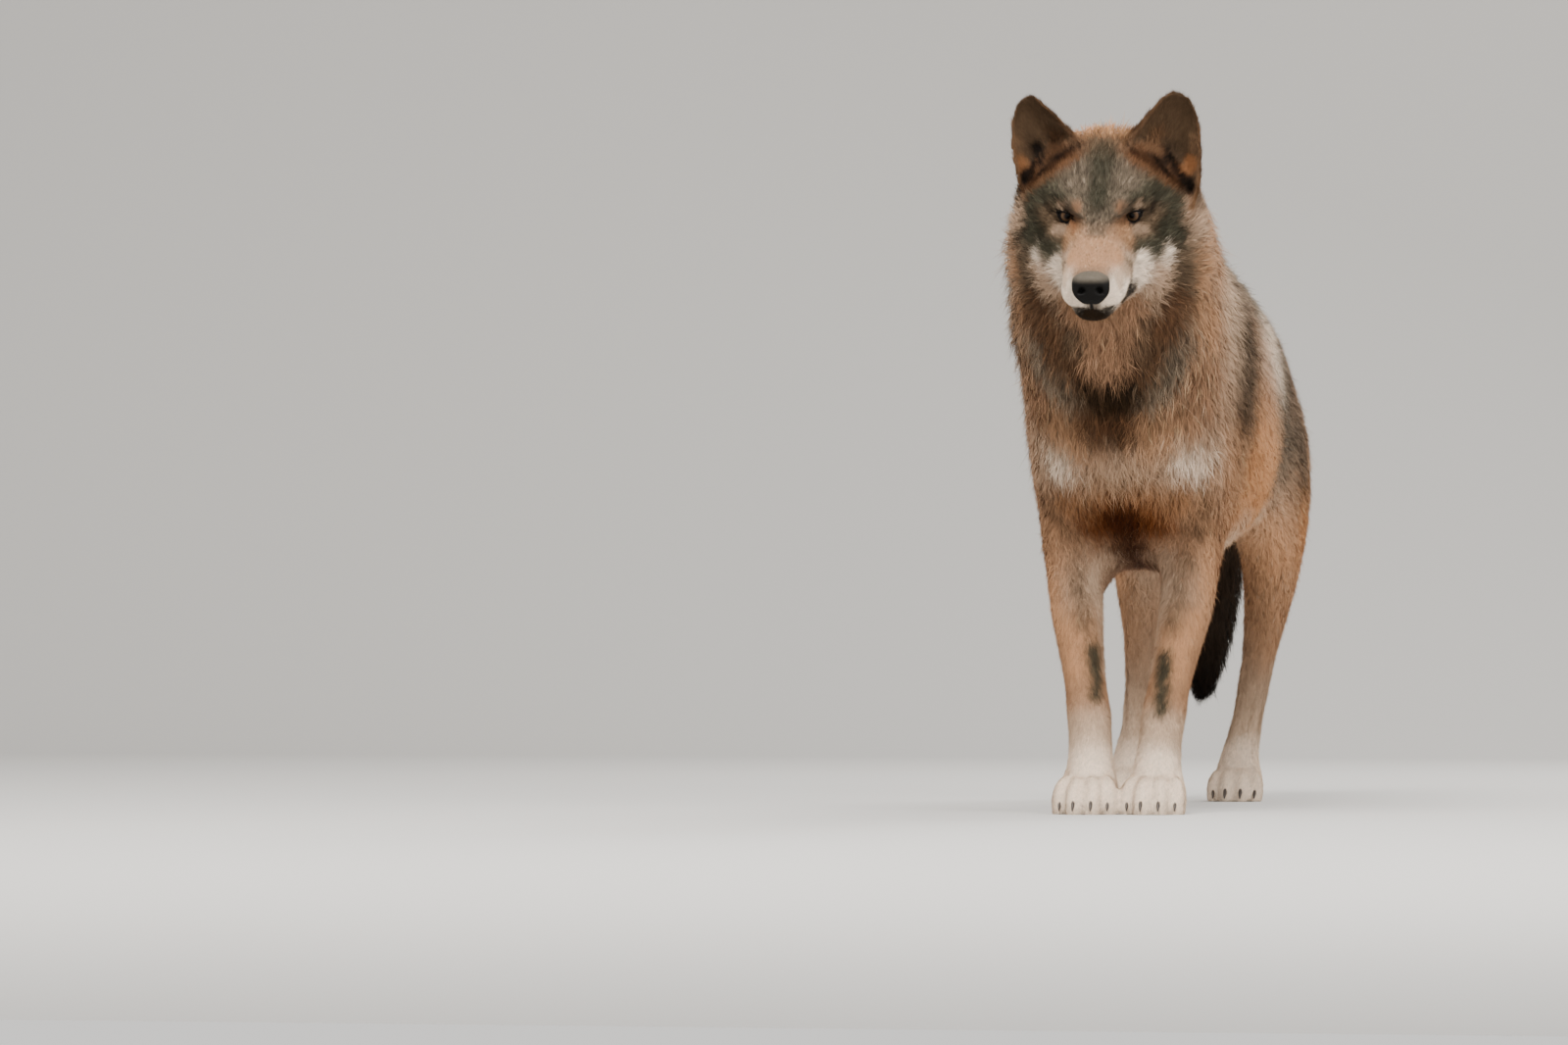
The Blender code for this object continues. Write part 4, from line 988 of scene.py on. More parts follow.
# From here to with_lids, lengths are in millimetres along the ball or from its centre
EYE_INNER, EYE_OUTER = 15.5, 8.4  # corners of the opening
UPPER_LID, LOWER_LID = 3.0, 5.6
OPENING_DEPTH = 20.0  # skin further than this from the ball's centre covers the opening
LID_GAP, LID_COVER = 1.0, 0.9  # the lids' distance from the ball, and the least on the ball's front
RIM = (0.7, 0.9, 1.3, 1.1)  # the rolled rim: rise, added rise of the upper one, place and width
CREASE = (1.4, 4.0, 1.6)  # the fold of the upper lid: rise, place and width
SUNK = 3.2  # skin inside the opening lies this deep in the ball
SOCKET = 17  # this near the middle of the opening, no skin but the sunk one lies in the ball
LID_FADE, FACE_FADE = (2.2, 8.0), (19, 31)  # where the lids run out: outside the opening, and from the centre
FRONT, REACHED = 24, 40  # from the centre: skin over the ball's front, and all that may move


def eye_axes(side):
    """Rows: towards the outer corner, up, out of the eye; in the head frame."""
    s = SIDES[side]
    look_way = Matrix.Rotation(s * EYE_TURN, 3, "Z") @ Matrix.Rotation(-EYE_RAISE, 3, "X")
    turn = np.array(look_way @ Matrix.Rotation(-s * EYE_TILT, 3, "Y"))
    return np.array([turn @ [s, 0, 0], turn @ [0, 0, 1], turn @ [0, -1, 0]])


def eye_polar(side, head):
    """(distance from the ball's centre, place across and up along the ball) of head points."""
    v = (head - ball_centre(side)) * MM
    far = np.linalg.norm(v, axis=1)
    local = (v @ eye_axes(side).T) / np.maximum(far, 1e-9)[:, None]
    turn = np.arccos(np.clip(local[:, 2], -1, 1))
    flat = np.maximum(np.hypot(local[:, 0], local[:, 1]), 1e-9)
    arc = BALL * turn / flat
    return far, local[:, 0] * arc, local[:, 1] * arc


def lid_inside(across, up):
    """How far inside the opening between the lids a place on the ball is."""
    share = np.clip(np.where(across < 0, -across / EYE_INNER, across / EYE_OUTER), 0, 1)
    past = np.maximum(np.maximum(across - EYE_OUTER, -across - EYE_INNER), 0)
    upper = UPPER_LID * (1 - share**2.6)
    lower = -LOWER_LID * (1 - share**1.7)
    return np.minimum(upper - up, up - lower) - past


def with_lids(head, side):
    """Skin drawn on to the ball round the opening, with a rolled rim, and sunk into the ball inside it."""
    far, across, up = eye_polar(side, head)
    inside, above = lid_inside(across, up), up > 0
    rise, more, rim_place, rim_width = RIM
    fold, fold_place, fold_width = CREASE
    rim = BALL + LID_GAP + (rise + more * above) * bell(inside + rim_place, rim_width)
    rim = rim + fold * bell(inside + fold_place, fold_width) * above
    near = (1 - smoothstep(*LID_FADE, -inside)) * (1 - smoothstep(*FACE_FADE, far))
    wanted = mixed(far, rim, near)
    front = (far < FRONT) & (np.hypot(across, up) < SOCKET)
    wanted = np.where(front, np.maximum(wanted, BALL + LID_COVER), wanted)
    wanted = np.where((inside > 0.15) & (far < OPENING_DEPTH), BALL - SUNK, wanted)
    centre = ball_centre(side)
    moved = centre + (head - centre) * (wanted / np.maximum(far, 1e-9))[:, None]
    return np.where((far < REACHED)[:, None], moved, head)


def to_core(q):
    """Unit steps from each point, in millimetres, towards the core of the muzzle."""
    zero = np.zeros(len(q))
    return unit(np.stack([zero, np.maximum(q[:, 1], 22), zero + 2], 1) - q)


def sculpted(head):
    """The head with its sockets, lids, nostrils, the grooves of the ears and the line of the lips."""
    for brush in HEAD_BRUSHES:
        head = pushed(head, *brush)
    for side in SIDES:
        head = with_lids(head, side)
    q = mirrored(head) * MM
    hole = bell(q[:, 0] - NOSTRIL[0], 3.4) * bell(q[:, 2] - NOSTRIL[2], 3.2) * bell(q[:, 1] - 4, 7)
    head = head + hole[:, None] * np.array([0, 0.0062, -0.001])
    for line, width, deep in EAR_GROOVES:
        sink = bell(line_distance(q, line), width) * deep / MM
        head = head + sink[:, None] * unit(np.array(GROOVE_WAY))
    core = to_core(q)
    head = head + bell(line_distance(q, NOSTRIL_SLIT), 1.7)[:, None] * 0.0024 * core
    return head + bell(line_distance(q, LIP_LINE), 1.5)[:, None] * 0.0022 * core


# ---------------------------------------------------------------- markings
WAVES = 7


def noise3(points, size, seed):
    """Soft noise from -1 to 1 at points, from sums of turned waves."""
    draw = np.random.default_rng(seed)
    total = np.zeros(len(points))
    for _ in range(WAVES):
        way = unit(draw.normal(size=3)) * draw.uniform(0.7, 1.6)
        total += np.sin(points @ way * (2 * math.pi / size) + draw.uniform(0, 6.28))
    return total / 3.2


class Ears:
    """Which points belong to an ear, and where on it they are."""

    def __init__(self):
        self.trees = {}
        for side in SIDES:
            grid, ups, acrosses = ear_grid(side, 26, 18)
            tree, keys = KDTree(grid[..., 0].size), []
            for wall in (0, 1):
                for r, u in enumerate(ups):
                    for c, a in enumerate(acrosses):
                        tree.insert(Vector(grid[wall, r, c]), len(keys))
                        keys.append((wall, u, a))
            tree.balance()
            self.trees[side] = (tree, keys)

    def fields(self, head):
        """(mask, wall, up, across) of each head point."""
        made = np.zeros((len(head), 4))
        near = np.nonzero((head[:, 1] > 0.165) & (head[:, 1] < 0.26) & (head[:, 2] > 0.02))[0]
        for i in near:
            tree, keys = self.trees["left" if head[i, 0] > 0 else "right"]
            _, index, far = tree.find(Vector(head[i]))
            made[i] = (1 - smoothstep(0.003, 0.008, far), *keys[index])
        return made


LID_SHADE = (1.5, 3.3)  # millimetres outside the opening over which the lids' dark rim fades


def painted(points, tint, grizzle, ears, lids):
    """The colour and grizzle of each skin point."""
    head = to_head(points) * MM
    wobble = np.stack([noise3(head, 24, k) for k in range(3)], 1) * 2.2
    calm = np.interp(points[:, 2], [0.20, 0.36], [0.8, 2.4])[:, None]
    near_head, near_body = head + wobble * 0.8, points * MM + wobble * calm
    tint, grizzle = with_markings(tint, grizzle, near_head, HEAD_EDGE, HEAD_MARKINGS)
    tint, grizzle = with_markings(tint, grizzle, near_body, BODY_EDGE, BODY_MARKINGS)
    tint, grizzle = painted_ears(tint, grizzle, ears)
    tint, grizzle = with_markings(tint, grizzle, near_head, HEAD_EDGE, EAR_MARKINGS)
    tint = with_whisker_dots(tint, head)
    dark_rim = (1 - smoothstep(*LID_SHADE, -lids))[:, None]
    return mixed(tint, BLACK, dark_rim), grizzle


def with_markings(tint, grizzle, places, edge, markings):
    for side, line, radius, shade, strength, grey in markings:
        q = places if side else mirrored(places)
        if side == RIGHT:
            line = [(-x, y, z) for x, y, z in line]
        far = line_distance(q, line)
        share = strength * (1 - smoothstep((1 - edge) * radius, (1 + edge) * radius, far))
        if side:
            share = share * (np.sign(q[:, 0]) == side)
        tint = mixed(tint, shade, share[:, None])
        grizzle = mixed(grizzle, grey, share)
    return tint, grizzle


WHISKER_ROWS = ((9, 26), (4, 23), (-1, 25), (-6, 29))  # height on the muzzle, and the first root's place back
WHISKERS, WHISKER_STEP, WHISKER_FALL = 5, 5.5, 0.5  # in a row: how many, the way back and down to the next


def with_whisker_dots(tint, head):
    """Small dark dots in rows where the whiskers grow."""
    far = np.full(len(head), np.inf)
    for up, back in WHISKER_ROWS:
        for k in range(WHISKERS):
            dot = (back + WHISKER_STEP * k, up - WHISKER_FALL * k)
            far = np.minimum(far, np.hypot(head[:, 1] - dot[0], head[:, 2] - dot[1]))
    share = 0.9 * (1 - smoothstep(0.9, 1.8, far)) * smoothstep(17, 20, np.abs(head[:, 0]))
    return mixed(tint, DARK, share[:, None])


def painted_ears(tint, grizzle, ears):
    """The ears' colours: a pale outer and inner edge, and a dark line of painted shade up the inside."""
    mask, wall, up, across = ears.T
    outer, inner = 1 - smoothstep(0.02, 0.14, across), smoothstep(0.86, 0.98, across)
    # painted shade: a dark line up the inside of the ear
    line = bell(across - 0.30 - 0.25 * (up - 0.3), 0.10) * (1 - smoothstep(0.3, 0.6, up))
    strokes = [
        (outer * (0.7 * (1 - smoothstep(0.5, 0.9, up)) + 0.1), FAWN * 0.7),
        (inner * 0.7, FAWN * 0.7),
        (line * 0.4, BLACK),
    ]
    shade = np.tile(EAR_INSIDE, (len(tint), 1))
    for share, tone in strokes:
        shade = mixed(shade, tone, share[:, None])
    shade = np.where(wall[:, None] > 0.5, EAR_BACK, shade)
    return mixed(tint, shade, mask[:, None]), mixed(grizzle, 0.15, mask)


# ---------------------------------------------------------------- skin
def nose_mask(head):
    """1 on the bare nose pad, fading to 0 at its edge."""
    across, back, up = (mirrored(head) * MM).T
    top = smoothstep(0, 1, (18.0 - 0.012 * across**2 - back) / 1.2)
    half = 21.0 - 0.040 * np.maximum(14 - up, 0) ** 2 - 0.03 * np.maximum(up - 18, 0) ** 2
    side = smoothstep(0, 1, (half - across) / 1.2)
    low = smoothstep(0, 1, (up + 4.5) / 1.2)
    philtrum = smoothstep(0, 1, 1.8 - across) * (up > -11) * (back < 16)
    return np.maximum(top * side * low, philtrum)


# Where the coat stands out most: centre and reach in the head frame, rise, added length, in millimetres
FLUFFS = [
    ((-104, 232, -5), (42, 50, 62), 11, 7),
    ((104, 232, -5), (42, 50, 55), 4, 3),
    ((0, 232, 116), (42, 30, 30), 11, 5),
]
EAR_DEPTH = 0.0012  # the coat's on the ears
LEAST_DEPTH = 0.0009
SOLE = 0.0015  # skin lower than this lies on the floor
SCULPTED_BACK = 0.24
LID_REACH = 16.5  # millimetres from the ball's centre
NO_LID = -99.0
EYE_PARTING = 0.024  # how far from an eye the hair still turns away from it
BACK_HAIR, BACK_LIFT = 0.011, 0.0028  # of the ears


class Skin:
    """The animal's skin as arrays, with everything the coat needs to know at each of its points."""

    def __init__(self):
        self.obj = wolf_form()
        self.triangles, self.edges = triangles_of(self.obj), edges_of(self.obj)
        outline = points_of(self.obj)
        self.lie, self.length, self.depth, tint, grizzle = coat_fields(outline)
        ears = Ears().fields(to_head(outline))
        self.depth = mixed(self.depth, EAR_DEPTH, ears[:, 0]) * smoothstep(-0.001, 0.012, outline[:, 2])
        self.depth = relaxed(self.depth, self.edges, 6)
        self.points = self.drawn_in(outline)
        head = to_head(self.points)
        close = head[:, 1] < SCULPTED_BACK
        head[close] = sculpted(head[close])
        self.points[close] = from_head(head[close])
        self.normals = normals(self.points, self.triangles)
        self.lids = np.full(len(head), NO_LID)
        for side, s in SIDES.items():
            far, across, up = eye_polar(side, head)
            near = (far < LID_REACH) & (head[:, 0] * s > 0)
            self.lids = np.where(near, lid_inside(across, up), self.lids)
        self.nose = nose_mask(head)
        self.set_lie(head, ears)
        self.set_hair(head, ears)
        self.tint, self.grizzle = painted(outline, tint, grizzle, ears, self.lids)
        self.bare = self.find_bare(head)
        put_points(self.obj, self.points)

    def drawn_in(self, outline):
        """The outline's points moved in by the coat's depth, and evened out behind the face."""
        inward = -relaxed(normals(outline, self.triangles), self.edges, 5)
        points = outline + unit(inward) * self.depth[:, None]
        slack = relaxed(points, self.edges, 3)
        far_back = smoothstep(0.20, 0.26, to_head(outline)[:, 1])[:, None]
        points = mixed(points, slack, far_back)
        points[:, 2] = np.where(outline[:, 2] < SOLE, 0.0, np.maximum(points[:, 2], 0.0))
        return points

    def set_lie(self, head, ears):
        """Turns the lie of the hair away from the eyes and up the ears, and lays it in the skin."""
        lie = self.lie
        for side in SIDES:
            away = head - ball_centre(side)
            pull = 1.1 * bell(np.linalg.norm(away, axis=1), EYE_PARTING)[:, None]
            lie = unit(lie + pull * (unit(away) @ HEAD_AXES.T))
        mask, wall, _, across = ears.T
        s, zero = np.sign(head[:, 0]), np.zeros(len(head))
        behind = np.stack([s * (0.15 + 0.5 * (0.5 - across)), zero + 0.25, zero + 1.0], 1)
        inside = np.stack([s * (0.9 * (0.5 - across) + 0.35), zero - 0.15, zero + 0.9], 1)
        ear_lie = unit(np.where(wall[:, None] > 0.5, behind, inside)) @ HEAD_AXES.T
        lie = mixed(lie, ear_lie, mask[:, None])
        lie = relaxed(unit(lie), self.edges, 8)
        lie -= (lie * self.normals).sum(1, keepdims=True) * self.normals
        self.lie = unit(lie)

    def set_hair(self, head, ears):
        """How long the hair is, how far it rises, and how far a lock's colour may come from."""
        mask, wall, up, across = ears.T
        tuft = bell(across - 0.66, 0.22) * bell(up - 0.25, 0.30)
        edge = bell(across - 1.0, 0.10) + bell(across, 0.08)
        front = 0.007 + 0.013 * tuft + 0.006 * np.clip(edge, 0, 1) * (1 - up)
        self.length = mixed(self.length, np.where(wall > 0.5, BACK_HAIR, front), mask)
        lift = np.where(wall > 0.5, BACK_LIFT, 0.0022 + 0.006 * tuft)
        self.rise = mixed(np.maximum(self.depth, LEAST_DEPTH), lift, mask)
        for centre, reach, rise, longer in FLUFFS:
            share = np.exp(-(((head * MM - centre) / reach) ** 2).sum(1)) * (1 - mask) / MM
            self.rise += rise * share
            self.length += longer * share
        face = 1 - smoothstep(0.200, 0.225, head[:, 1])
        self.blend = mixed(0.001 + (0.45 - 0.25 * face) * self.length, 0.0007, mask)

    def find_bare(self, head):
        """1 where no hair grows: the nose pad, the lids' rims and openings, the lips and the soles."""
        lips = line_distance(mirrored(head) * MM, LIP_LINE) < 1.3
        sole = (self.normals[:, 2] < -0.6) & (self.points[:, 2] < 0.004)
        return ((self.nose > 0.25) | (self.lids > -1.1) | lips | sole).astype(float)


# ---------------------------------------------------------------- the coat
BLADES, LEAVES = ((700000, 375000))
TRIANGLES_PER_PIECE = 190000
SHORT_HAIR, LONG_HAIR = 0.012, 0.016  # between them blades give way to leaves
BORROWED = 0.55  # how much of its colour a lock takes from a place nearby, so that no marking has a hard edge
FLOOR_GAP = 1e-4
LOCK_SPACING = (0.0010, 0.115)  # a length, and a share of the hair's length
LOCK_TURN, LOCK_SCATTER = 0.24, 0.28  # radians by which noise and chance turn a lock
DARK_LOCKS, PALE_LOCKS = 0.36, 0.30  # share of the locks that are dark and pale where the grizzle is 1
OVER_ROOTS = 0.004  # locks are told apart this far above the skin, so that none reaches round a thin part
STRAYS = 0.05  # share of the tufts that stand out of their lock
SPLAY, MOST_SPLAY = 0.125, 0.28  # a tip's way off the lock, as a share of the length
CURL = 0.050  # the same of a leaf's bend
rng = np.random.default_rng(11)


def column(values):
    return np.asarray(values)[:, None]


def along(steps, way):
    """The part of each step that lies along its way."""
    return (steps * way).sum(1, keepdims=True) * way


def tuft_width(length):
    return 0.00028 + 0.0145 * length


class Roots:
    """Tuft roots over part of the skin, densest where the hair is shortest."""

    def __init__(self, skin, count, share):
        t = skin.triangles
        a, b, c = (skin.points[t[:, k]] for k in range(3))
        area = 0.5 * np.linalg.norm(np.cross(b - a, c - a), axis=1)
        length = skin.length[t].mean(1)
        want = share[t].mean(1) * (1 - skin.bare[t].max(1)) / (length * tuft_width(length))
        total = np.cumsum(area * want)
        spots = (np.arange(count) + rng.random(count)) / count * total[-1]
        self.face = np.minimum(np.searchsorted(total, spots), len(t) - 1)
        u, v = rng.random(count), rng.random(count)
        fold = u + v > 1
        u, v = np.where(fold, 1 - u, u), np.where(fold, 1 - v, v)
        self.weights = np.stack([1 - u - v, u, v], 1)
        self.corners = t[self.face]
        self.density = count * want[self.face] / total[-1]

    def at(self, values):
        """A skin value at each root."""
        picked = values[self.corners]
        weights = self.weights if picked.ndim == 2 else self.weights[..., None]
        return (picked * weights).sum(1)


class Guides:
    """One leading hair for each lock. It rises from its root and then lies along the skin."""

    def __init__(self, skin, roots, place, normal, lie, length, rise):
        spacing = LOCK_SPACING[0] + LOCK_SPACING[1] * length
        chosen = np.nonzero(rng.random(len(place)) < 1 / (roots.density * spacing**2))[0]
        count = len(chosen)
        tree = KDTree(count)
        for k, p in enumerate(place[chosen] + normal[chosen] * OVER_ROOTS):
            tree.insert(p, k)
        tree.balance()
        self.of_root = np.array([tree.find(p)[1] for p in place + normal * OVER_ROOTS])
        bvh = BVHTree.FromPolygons(skin.points.tolist(), skin.triangles.tolist())
        start, up = place[chosen], normal[chosen]
        turn = LOCK_TURN * (noise3(start * MM, 34, 5) + noise3(start * MM, 13, 6))
        turn = turn + rng.normal(0, LOCK_SCATTER, count)
        turn = column(turn * np.interp(length[chosen], [0.006, 0.015], [0.8, 1.25]))
        way = unit(lie[chosen] * np.cos(turn) + np.cross(up, lie[chosen]) * np.sin(turn))
        reach = column(length[chosen] * rng.uniform(0.78, 1.12, count))
        swell = 1 + 0.18 * noise3(start * MM, 40, 7)
        height = column(rise[chosen] * rng.uniform(0.55, 1.0, count) * swell)
        middle, up1, way1 = self.follow(bvh, skin, start + way * reach * 0.48)
        end, up2, _ = self.follow(bvh, skin, middle + unit(0.5 * way + 0.5 * way1) * reach * 0.5)
        free = column(rng.uniform(0.05, 0.40, count))  # how much of its bend round the body a lock leaves out
        self.start = start
        self.middle = middle + up1 * height * 0.66
        self.end = mixed(end + up2 * height, start + way * reach * 0.97 + up * height * 1.05, free)
        self.shade = rng.random(count)
        spread = roots.at(skin.blend)[chosen, None] * rng.normal(0, 1, (count, 3))
        self.lender = chosen[[tree.find(p)[1] for p in start + up * OVER_ROOTS + spread]]

    @staticmethod
    def follow(bvh, skin, wanted):
        """The nearest skin to each wanted point, with its normal and lie."""
        found = [bvh.find_nearest(p) for p in wanted.tolist()]
        place = np.array([f[0] for f in found])
        corners = skin.triangles[[f[2] for f in found]]
        return place, unit(skin.normals[corners].mean(1)), unit(skin.lie[corners].mean(1))


def tuft_colours(tint, grizzle, lock, length):
    """(root, middle, tip) colours of each tuft. The root is darkened as painted shade deep in the coat."""
    count = len(tint)
    strand, third = rng.random(count), rng.random(count)
    lock_dark = column(smoothstep(0, 0.12, DARK_LOCKS * grizzle - lock))
    lock_pale = column(smoothstep(0, 0.12, lock - (1 - PALE_LOCKS * grizzle)))
    base = tint * column(0.89 + 0.22 * strand) * column(0.90 + 0.20 * ((lock * 7.3) % 1))
    base = base * (1 - 0.55 * lock_dark)
    base = base * (1 - 0.6 * lock_pale) + np.minimum(base * 2.4, PALE) * 0.6 * lock_pale
    dark_tip = column((third < 0.10 + 0.42 * grizzle) * (0.30 + 0.4 * grizzle))
    pale_tip = column((third > 0.76) * 0.20)
    tip = mixed(mixed(base, DARK, dark_tip), np.minimum(base * 1.8, CREAM), pale_tip)
    # painted shade at the roots: darker under longer hair
    deep = column(np.interp(length, [0.006, 0.03], [0.85, 0.70]))
    return base * deep, base, tip


def skin_map(skin):
    """An unwrap of the skin, as one UV for each corner of each triangle."""
    bpy.ops.object.select_all(action="DESELECT")
    skin.obj.select_set(True)
    bpy.context.view_layer.objects.active = skin.obj
    skin.obj.data.uv_layers.new(name="OFBake")
    bpy.ops.object.mode_set(mode="EDIT")
    bpy.ops.mesh.select_all(action="SELECT")
    bpy.ops.uv.smart_project(angle_limit=math.radians(66), island_margin=0.002)
    bpy.ops.object.mode_set(mode="OBJECT")
    return read(skin.obj.data.uv_layers["OFBake"].data, "uv", 2, np.float32).reshape(-1, 3, 2)


# A blade is one triangle; a leaf is two, which bend over where they meet. Each has faces and a UV patch.
BLADE = (np.array([(0, 1, 2)]), np.array([(-0.0014, -0.0014), (0.0014, -0.0014), (0, 0.0015)]))
LEAF = (np.array([(0, 2, 1), (1, 2, 3)]), np.array([(0, -0.0014), (-0.0014, 0), (0.0014, 0), (0, 0.0015)]))


def make_tufts(skin, name, count, share, form, material):
    """Tufts over the part of the skin where share isn't 0, in pieces from the nose to the tail."""
    roots = Roots(skin, count, share)
    place, normal, lie = roots.at(skin.points), unit(roots.at(skin.normals)), unit(roots.at(skin.lie))
    length, rise = roots.at(skin.length), roots.at(skin.rise)
    guides = Guides(skin, roots, place, normal, lie, length, rise)
    g = guides.of_root
    aside = place - guides.start[g]
    aside -= along(aside, normal)
    stray = column((rng.random(count) < STRAYS).astype(float))
    near = column(rng.uniform(0.62, 1.12, count)) * (1 + 0.16 * stray)
    close = column(np.interp(length, [0.005, 0.03], [0.15, 0.42])) * column(rng.uniform(0.4, 1.15, count))
    loose = np.clip(rng.normal(0, SPLAY, (count, 3)), -MOST_SPLAY, MOST_SPLAY) * column(length) * (1 + stray)
    curl = rng.normal(0, CURL, (count, 3)) * column(length)
    middle = place + (guides.middle - guides.start)[g] * near - aside * close * 0.35 + curl
    end = place + (guides.end - guides.start)[g] * near - aside * close + loose
    sink = column(0.5 * rng.random(count) ** 2) * (1 - stray) * 0.6
    middle -= along(middle - place, normal) * sink
    end -= along(end - place, normal) * sink
    run = unit(end - place)
    side = unit(np.cross(run, normal))
    roll = column(rng.uniform(-0.95, 0.95, count))
    side = side * np.cos(roll) + np.cross(side, run) * np.sin(roll)
    half = column(tuft_width(length) * rng.uniform(0.65, 1.25, count) * 0.5) * (1 - 0.35 * stray)
    tint, grizzle, lender = roots.at(skin.tint), roots.at(skin.grizzle), guides.lender[g]
    tint, grizzle = mixed(tint, tint[lender], BORROWED), mixed(grizzle, grizzle[lender], BORROWED)
    first, second, third = tuft_colours(tint, grizzle, guides.shade[g], length)
    if form is LEAF:
        corners = np.stack([place, middle - side * half, middle + side * half, end], 1)
        tone = np.stack([first, second, second, third], 1)
    else:
        corners = np.stack([place - side * half, place + side * half, end], 1)
        tone = np.stack([0.5 * (first + second), 0.5 * (first + second), third], 1)
    corners[..., 2] = np.maximum(corners[..., 2], FLOOR_GAP)
    face = unit(np.cross(side, run))
    face *= np.sign((face * normal).sum(1, keepdims=True))
    shade = np.repeat(unit(0.8 * normal + 0.32 * face)[:, None], corners.shape[1], 1)
    patch = (skin.uv[roots.face] * roots.weights[..., None]).sum(1)
    order = np.argsort(place[:, 1], kind="stable")
    per_piece = TRIANGLES_PER_PIECE // len(form[0])
    pieces = []
    for k, start in enumerate(range(0, count, per_piece)):
        part = order[start : start + per_piece]
        made = (corners[part], shade[part], tone[part], patch[part])
        pieces.append(coat_piece(f"{name}_{k + 1}", form, *made, material))
    return pieces


def make_coat(skin, material):
    """Short hair as straight blades and long hair as leaves that bend over."""
    long = smoothstep(SHORT_HAIR, LONG_HAIR, skin.length)
    short_pieces = make_tufts(skin, "coat_short", BLADES, 1 - long, BLADE, material)
    return short_pieces + make_tufts(skin, "coat_long", LEAVES, long, LEAF, material)


def coat_piece(name, form, corners, shade, tone, patch, material):
    """One piece of the coat from the corners, shading normals, colours and UV places of its tufts."""
    faces, spread = form
    count, per = corners.shape[:2]
    mesh = bpy.data.meshes.new(name)
    loops = (faces.ravel()[None] + per * np.arange(count)[:, None]).ravel().astype(np.int32)
    mesh.vertices.add(per * count)
    mesh.loops.add(len(loops))
    mesh.polygons.add(len(loops) // 3)
    mesh.vertices.foreach_set("co", (corners + SHIFT).ravel())
    mesh.loops.foreach_set("vertex_index", loops)
    mesh.polygons.foreach_set("loop_start", np.arange(len(loops) // 3, dtype=np.int32) * 3)
    uv = (patch[:, None] + spread[None]).reshape(-1, 2)[loops]
    mesh.uv_layers.new(name="OFBake").data.foreach_set("uv", np.clip(uv, 0, 1).ravel())
    paint(mesh, tone.reshape(-1, 3))
    mesh.update()
    mesh.normals_split_custom_set_from_vertices(shade.reshape(-1, 3))
    mesh.materials.append(material)
    return linked(name, mesh)


def paint(mesh, tone):
    """Gives a mesh its colour at each point, for its material to read."""
    layer = mesh.color_attributes.new("coat", "FLOAT_COLOR", "POINT")
    layer.data.foreach_set("color", np.hstack([tone, np.ones((len(tone), 1))]).ravel())


# ---------------------------------------------------------------- materials
class Look:
    """A material in the making: its nodes, and its shader with a roughness and a specular level."""

    def __init__(self, name, roughness, specular=None):
        self.material = bpy.data.materials.new(name)
        self.material.use_nodes = True
        self.nodes, self.links = self.material.node_tree.nodes, self.material.node_tree.links
        self.shader = self.nodes["Principled BSDF"]
        self.shader.inputs["Roughness"].default_value = roughness
        if specular is not None:
            self.shader.inputs["Specular IOR Level"].default_value = specular

    def node(self, kind, **inputs):
        made = self.nodes.new(kind)
        for socket, value in inputs.items():
            made.inputs[socket].default_value = value
        return made

    def texture(self, kind, **inputs):
        """A texture laid out in the object's own space."""
        made, place = self.node(kind, **inputs), self.nodes.new("ShaderNodeTexCoord")
        self.links.new(place.outputs["Object"], made.inputs["Vector"])
        return made

    def attribute(self, name):
        made = self.nodes.new("ShaderNodeAttribute")
        made.attribute_name = name
        return made

    def ramp(self, source, stops):
        """source turned into the colours of the stops, which are (place, colour)."""
        ramp = self.nodes.new("ShaderNodeValToRGB")
        marks = ramp.color_ramp.elements
        for k, (place, tone) in enumerate(stops):
            mark = marks[k] if k < 2 else marks.new(place)
            mark.position, mark.color = place, (*tone, 1)
        self.links.new(source, ramp.inputs["Fac"])
        self.links.new(ramp.outputs["Color"], self.shader.inputs["Base Color"])

    def coat_colour(self, scale, low, high):
        """The mesh's own colours, mottled by noise from low to high. Gives the noise."""
        tone = self.attribute("coat")
        noise = self.texture("ShaderNodeTexNoise", Scale=scale, Detail=4.0)
        band = self.nodes.new("ShaderNodeMapRange")
        band.inputs["To Min"].default_value, band.inputs["To Max"].default_value = low, high
        self.links.new(noise.outputs["Fac"], band.inputs["Value"])
        mix = self.nodes.new("ShaderNodeVectorMath")
        mix.operation = "SCALE"
        self.links.new(tone.outputs["Color"], mix.inputs[0])
        self.links.new(band.outputs["Result"], mix.inputs["Scale"])
        self.links.new(mix.outputs["Vector"], self.shader.inputs["Base Color"])
        return noise

    def bumps(self, height, strength, distance):
        bump = self.node("ShaderNodeBump", Strength=strength, Distance=distance)
        self.links.new(height, bump.inputs["Height"])
        self.links.new(bump.outputs["Normal"], self.shader.inputs["Normal"])


def coat_look():
    coat = Look("coat", 0.72, 0.05)
    coat.coat_colour(260.0, 0.84, 1.16)
    return coat.material


def skin_look():
    skin = Look("skin", 0.68, 0.10)
    noise = skin.coat_colour(420.0, 0.70, 1.2)
    skin.bumps(noise.outputs["Fac"], 0.5, 0.0008)
    return skin.material


def nose_look():
    leather = Look("nose_leather", 0.55, 0.12)
    leather.coat_colour(300.0, 0.75, 1.25)
    pebbles = leather.texture("ShaderNodeTexVoronoi", Scale=900.0)
    leather.bumps(pebbles.outputs["Distance"], 0.55, 0.0005)
    return leather.material


